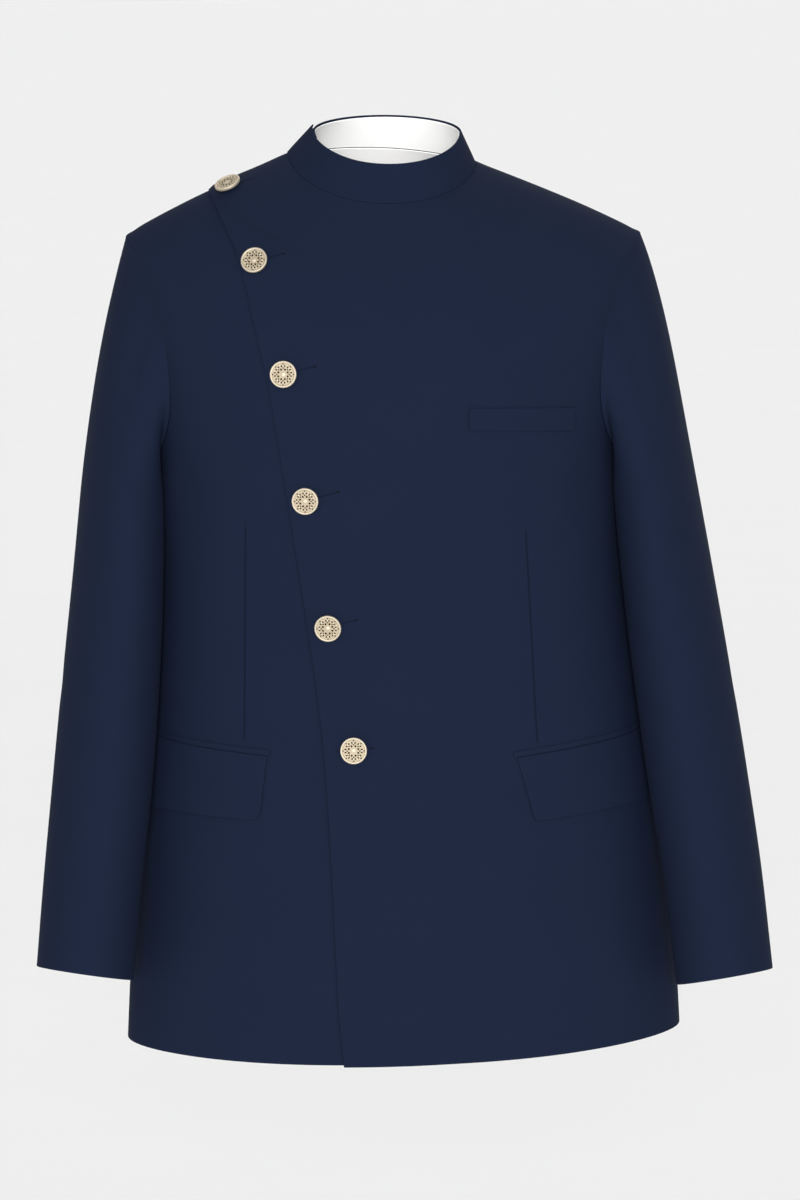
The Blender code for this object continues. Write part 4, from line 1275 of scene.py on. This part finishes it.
def joined(name, parts):
    """One object made of meshes that keep their own finishes."""
    shape = bmesh.new()
    finishes = []
    for mesh in parts:
        start = len(shape.faces)
        shape.from_mesh(mesh)
        shape.faces.ensure_lookup_table()
        for face in shape.faces[start:]:
            material = mesh.materials[face.material_index]
            if material not in finishes:
                finishes.append(material)
            face.material_index = finishes.index(material)
    mesh = mesh_of(name, shape, finishes)
    mesh.shade_smooth()
    mesh.set_sharp_from_angle(angle=math.radians(SHARP_ANGLE))
    return add_object(name, mesh)


def button_profile():
    """Half the outline of a button, from the middle of its face down to the foot of its shank."""
    face = SHANK_LENGTH + BUTTON_THICK
    rim = face + BUTTON_RIM_HEIGHT
    inner = BUTTON_RADIUS - BUTTON_RIM
    rows = [
        (0.0, face, 1),
        (inner - 0.5, face, 0),
        (inner - 0.3, face + 0.25, 0),
        (inner - 0.05, face + 0.52, 0),
        (inner + 0.25, rim - 0.05, 0),
        (inner + 0.6, rim, 0),
        (BUTTON_RADIUS - 0.5, rim - 0.06, 0),
        (BUTTON_RADIUS - 0.15, rim - 0.3, 0),
        (BUTTON_RADIUS, rim - 0.65, 0),
        (BUTTON_RADIUS, SHANK_LENGTH + 1.1, 0),
        (BUTTON_RADIUS - 0.35, SHANK_LENGTH + 0.4, 0),
        (BUTTON_RADIUS - 1.2, SHANK_LENGTH, 0),
        (SHANK_RADIUS, SHANK_LENGTH, 2),
        (SHANK_RADIUS, 0.0, 2),
        (0.0, 0.0, 2),
    ]
    return [(radius * MM, height * MM, number) for radius, height, number in rows]


# Rings of the button's ornament: count as a multiple of the lobes, where 0 is a single stud, radius,
# turn as a share of a lobe, height above the face, size along the radius, across it and up, and finish
# The near-black studs are painted shadow: they stand in for the shade in the ornament's pierced holes.
Studs = namedtuple("Studs", "times radius turn height size finish")
ORNAMENT = [
    Studs(0, 0.0, 0.0, -0.15, (2.1, 2.1, 0.5), "gilt"),
    Studs(1, 4.3, 0.5, -0.1, (1.1, 0.95, 0.2), "hole_shadow"),
    Studs(1, 5.3, 0.0, -0.1, (0.7, 0.7, 0.2), "hole_shadow"),
    Studs(1, 7.0, 0.0, 0.0, (1.15, 0.85, 0.42), "gilt"),
    Studs(2, 7.0, 0.25, -0.1, (1.15, 0.62, 0.2), "hole_shadow"),
    Studs(1, 8.8, 0.0, -0.1, (0.7, 0.65, 0.2), "hole_shadow"),
    Studs(1, 8.0, 0.5, 0.0, (0.75, 0.7, 0.34), "gilt"),
]


def button_parts():
    """The meshes of one button on its own axis: the turned body and the rings of its ornament."""
    lobes = bpy.context.scene.jacket_buttons.lobes
    finishes = [finish_of("gilt"), finish_of("ground"), finish_of("thread")]
    parts = [turned(button_profile(), BUTTON_STEPS, finishes)]
    face = SHANK_LENGTH + BUTTON_THICK
    for studs in ORNAMENT:
        ring = {"Count": max(1, studs.times * lobes), "Radius": studs.radius * MM}
        ring |= {"Turn": math.tau / lobes * studs.turn, "Height": (face + studs.height) * MM}
        ring |= {"Size": [part * MM for part in studs.size], "Finish": finish_of(studs.finish)}
        parts.append(grown(stud_ring_tree(), bpy.data.meshes.new("empty"), **ring))
    return parts


def buttons():
    whole = joined("button", button_parts())
    for number, place in enumerate(BUTTONS, 1):
        degrees, v = place_on_front(place.across, place.height)
        out = body_normal(degrees, v)
        foot = body_point(degrees, v) + out * (overlap_lift(degrees, v) + SEAM_GAP - place.sink)
        mesh = whole.data.copy()
        turn = Vector(out).to_track_quat("Z", "Y").to_matrix().to_4x4()
        mesh.transform(Matrix.Translation(Vector(foot) * MM) @ turn)
        thing = add_object(f"rosette_button_{number}", mesh)
        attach(thing, BODY)
        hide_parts(f"button_{number}")
    bpy.data.objects.remove(whole)


# Steps of a buttonhole's line, how far it lies above the cloth, the width of the painted shadow in its
# slit, and the size of its eyelet's dome of painted shadow
HOLE_STEPS = 24
HOLE_LIFT = 0.12
SLIT = 0.3
EYELET = (1.8, 1.0, 0.2)


def buttonholes():
    sewing = bpy.context.scene.jacket_sewing
    thick, long = sewing.twist / 2, sewing.stitch / 2
    half_slit = SLIT / 2 * MM
    stitches = {"Pitch": sewing.pitch, "Size": (thick, long, thick), "Away": long + half_slit}
    slit_shadow = {"Pitch": 2 * half_slit, "Size": (2 * half_slit, half_slit, thick / 2), "Away": 0.0}
    hole = {"Count": 1, "Size": [part * MM for part in EYELET]}
    parts = []
    for place in BUTTONS:
        shares = np.linspace(0, 1, HOLE_STEPS)
        across = place.hole_from[0] + (place.hole_to[0] - place.hole_from[0]) * shares
        up = place.hole_from[1] + (place.hole_to[1] - place.hole_from[1]) * shares
        degrees, v = place_beside(*place_on_front(place.across, place.height), across, up)
        normals = body_normal(degrees, v)
        lift = overlap_lift(degrees, v) + HOLE_LIFT
        points = (body_point(degrees, v) + normals * lift[:, None]) * MM
        facing = normals[-1].tolist()
        for sizes, finish in ((stitches, "thread"), (slit_shadow, "slit")):
            line = bpy.data.meshes.new("buttonhole_line")
            line.from_pydata(points.tolist(), [(k, k + 1) for k in range(HOLE_STEPS - 1)], [])
            parts.append(grown(buttonhole_tree(), line, **sizes, Facing=facing, Finish=finish_of(finish)))
        # The eyelet: a dark dome of painted shadow, standing in for the shade in the hole.
        eyelet = grown(stud_ring_tree(), bpy.data.meshes.new("empty"), **hole, Finish=finish_of("slit"))
        ahead = Vector(points[-1] - points[-2]).normalized()
        aside = Vector(facing).cross(ahead).normalized()
        axes = Matrix((ahead, aside, ahead.cross(aside))).transposed().to_4x4()
        eyelet.transform(Matrix.Translation(Vector(points[-1])) @ axes)
        parts.append(eyelet)
    thing = joined("buttonhole_work", parts)
    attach(thing, BODY)


# The stage


def add_sun(name, azimuth, elevation, strength, softness):
    """A broad white light from far away: azimuth 0 is the front, 90 the right, and softness its width."""
    light = bpy.data.lights.new(name, "SUN")
    light.energy = strength
    light.angle = math.radians(softness)
    turn, rise = math.radians(azimuth), math.radians(elevation)
    way = Vector((math.sin(turn) * math.cos(rise), -math.cos(turn) * math.cos(rise), math.sin(rise)))
    add_object(name, light).rotation_euler = way.to_track_quat("Z", "Y").to_euler()


def paper_material():
    """Matt paper sweep: even and pale, with the faintest unevenness."""
    paper = bpy.context.scene.jacket_stage.paper
    matt = {"Roughness": 0.95, "Specular IOR Level": 0.0}
    material, tree, shader = new_material("matt_paper_sweep", matt)
    place = add_node(tree, "ShaderNodeTexCoord").outputs["Object"]
    spots = add_node(tree, "ShaderNodeTexNoise", {"Vector": place, "Scale": 1 / (PAPER_SPOT * MM)})
    tones = {0: spots.outputs["Fac"], 6: shade(paper, 0.99), 7: shade(paper, 1.01)}
    join_up(tree, shader, add_node(tree, "ShaderNodeMix", tones, data_type="RGBA").outputs[2])
    return material


def stage():
    scene = bpy.context.scene
    settings = scene.jacket_stage
    mesh = bpy.data.meshes.new("floor")
    corners = [(x * FLOOR_SIZE, y * FLOOR_SIZE, FLOOR_HEIGHT) for x, y in FLOOR_CORNERS]
    mesh.from_pydata(corners, [], [(0, 1, 2, 3)])
    mesh.materials.append(paper_material())
    add_object("floor", mesh)

    world = bpy.data.worlds.new("studio")
    world.use_nodes = True
    tree = world.node_tree
    sky = tree.nodes["Background"]
    sky.inputs["Color"].default_value = (1, 1, 1, 1)
    place = add_node(tree, "ShaderNodeTexCoord").outputs["Generated"]
    height = add_node(tree, "ShaderNodeSeparateXYZ", {0: place}).outputs["Z"]
    band = {0: height, 1: HORIZON_BAND[0], 2: HORIZON_BAND[1], 3: HORIZON, 4: settings.sky}
    glow = add_node(tree, "ShaderNodeMapRange", band).outputs[0]
    tree.links.new(glow, sky.inputs["Strength"])
    scene.world = world
    for name, azimuth, elevation, share, softness in SUNS:
        add_sun(name, azimuth, elevation, settings.key * share, softness)
    scene.view_settings.view_transform = "Standard"

    rise, roll = math.radians(CAMERA_ELEVATION), math.radians(CAMERA_ROLL)
    right, up = Vector((1, 0, 0)), Vector((0, math.sin(rise), math.cos(rise)))
    back = Vector((0, -math.cos(rise), math.sin(rise)))
    across = right * math.cos(roll) - up * math.sin(roll)
    upright = right * math.sin(roll) + up * math.cos(roll)
    axes = Matrix((across, upright, back)).transposed().to_4x4()
    lens = bpy.data.cameras.new("camera")
    lens.sensor_fit = "VERTICAL"
    lens.sensor_height = SENSOR
    lens.lens = SENSOR * CAMERA_DISTANCE / VIEW_HEIGHT
    camera = add_object("camera", lens)
    camera.matrix_world = Matrix.Translation(Vector(CAMERA_TARGET) + back * CAMERA_DISTANCE) @ axes
    scene.camera = camera


# Operators and the panel


class JACKET_OT_stage(bpy.types.Operator):
    """Make the floor, the lights and the camera"""

    bl_idname = "jacket.stage"
    bl_label = "Stage"

    def execute(self, context):
        stage()
        return {"FINISHED"}


class JACKET_OT_body(bpy.types.Operator):
    """Make the two fronts and the two backs"""

    bl_idname = "jacket.body"
    bl_label = "Body panels"

    def execute(self, context):
        body_panels()
        return {"FINISHED"}


class JACKET_OT_sleeves(bpy.types.Operator):
    """Make the top and under sleeves"""

    bl_idname = "jacket.sleeves"
    bl_label = "Sleeves"

    def execute(self, context):
        sleeves()
        return {"FINISHED"}


class JACKET_OT_collar(bpy.types.Operator):
    """Make the stand collar and the white linings of collar and neck"""

    bl_idname = "jacket.collar"
    bl_label = "Collar and linings"

    def execute(self, context):
        collar()
        return {"FINISHED"}


class JACKET_OT_pockets(bpy.types.Operator):
    """Make the flaps, the jets and the breast welt"""

    bl_idname = "jacket.pockets"
    bl_label = "Pockets"

    def execute(self, context):
        pockets()
        return {"FINISHED"}


class JACKET_OT_buttonholes(bpy.types.Operator):
    """Work the six buttonholes"""

    bl_idname = "jacket.buttonholes"
    bl_label = "Buttonholes"

    def execute(self, context):
        buttonholes()
        return {"FINISHED"}


class JACKET_OT_buttons(bpy.types.Operator):
    """Make the six gilt buttons"""

    bl_idname = "jacket.buttons"
    bl_label = "Buttons"

    def execute(self, context):
        buttons()
        return {"FINISHED"}


OPERATORS = (
    JACKET_OT_stage,
    JACKET_OT_body,
    JACKET_OT_sleeves,
    JACKET_OT_collar,
    JACKET_OT_pockets,
    JACKET_OT_buttonholes,
    JACKET_OT_buttons,
)
SETTINGS = {
    "jacket_cloth": JacketCloth,
    "jacket_sewing": JacketSewing,
    "jacket_buttons": JacketButtons,
    "jacket_stage": JacketStage,
}


class JACKET_PT_panel(bpy.types.Panel):
    """Sizes, colours and the steps that make the jacket's looks"""

    bl_idname = "JACKET_PT_panel"
    bl_label = "Jodhpuri jacket"
    bl_space_type = "VIEW_3D"
    bl_region_type = "UI"
    bl_category = "Jacket"

    def draw(self, context):
        for name, settings in SETTINGS.items():
            box = self.layout.box()
            for key in settings.__annotations__:
                box.prop(getattr(context.scene, name), key)
        for operator in OPERATORS:
            self.layout.operator(operator.bl_idname)


def register():
    for kind in (*SETTINGS.values(), *OPERATORS, JACKET_PT_panel):
        bpy.utils.register_class(kind)
    for name, settings in SETTINGS.items():
        setattr(bpy.types.Scene, name, bpy.props.PointerProperty(type=settings))


def unregister():
    for name in SETTINGS:
        delattr(bpy.types.Scene, name)
    for kind in reversed((*SETTINGS.values(), *OPERATORS, JACKET_PT_panel)):
        bpy.utils.unregister_class(kind)


def main():
    register()
    bpy.ops.jacket.stage()
    bpy.ops.jacket.body()
    bpy.ops.jacket.sleeves()
    bpy.ops.jacket.collar()
    bpy.ops.jacket.pockets()
    bpy.ops.jacket.buttonholes()
    bpy.ops.jacket.buttons()


if __name__ == "__main__":
    main()
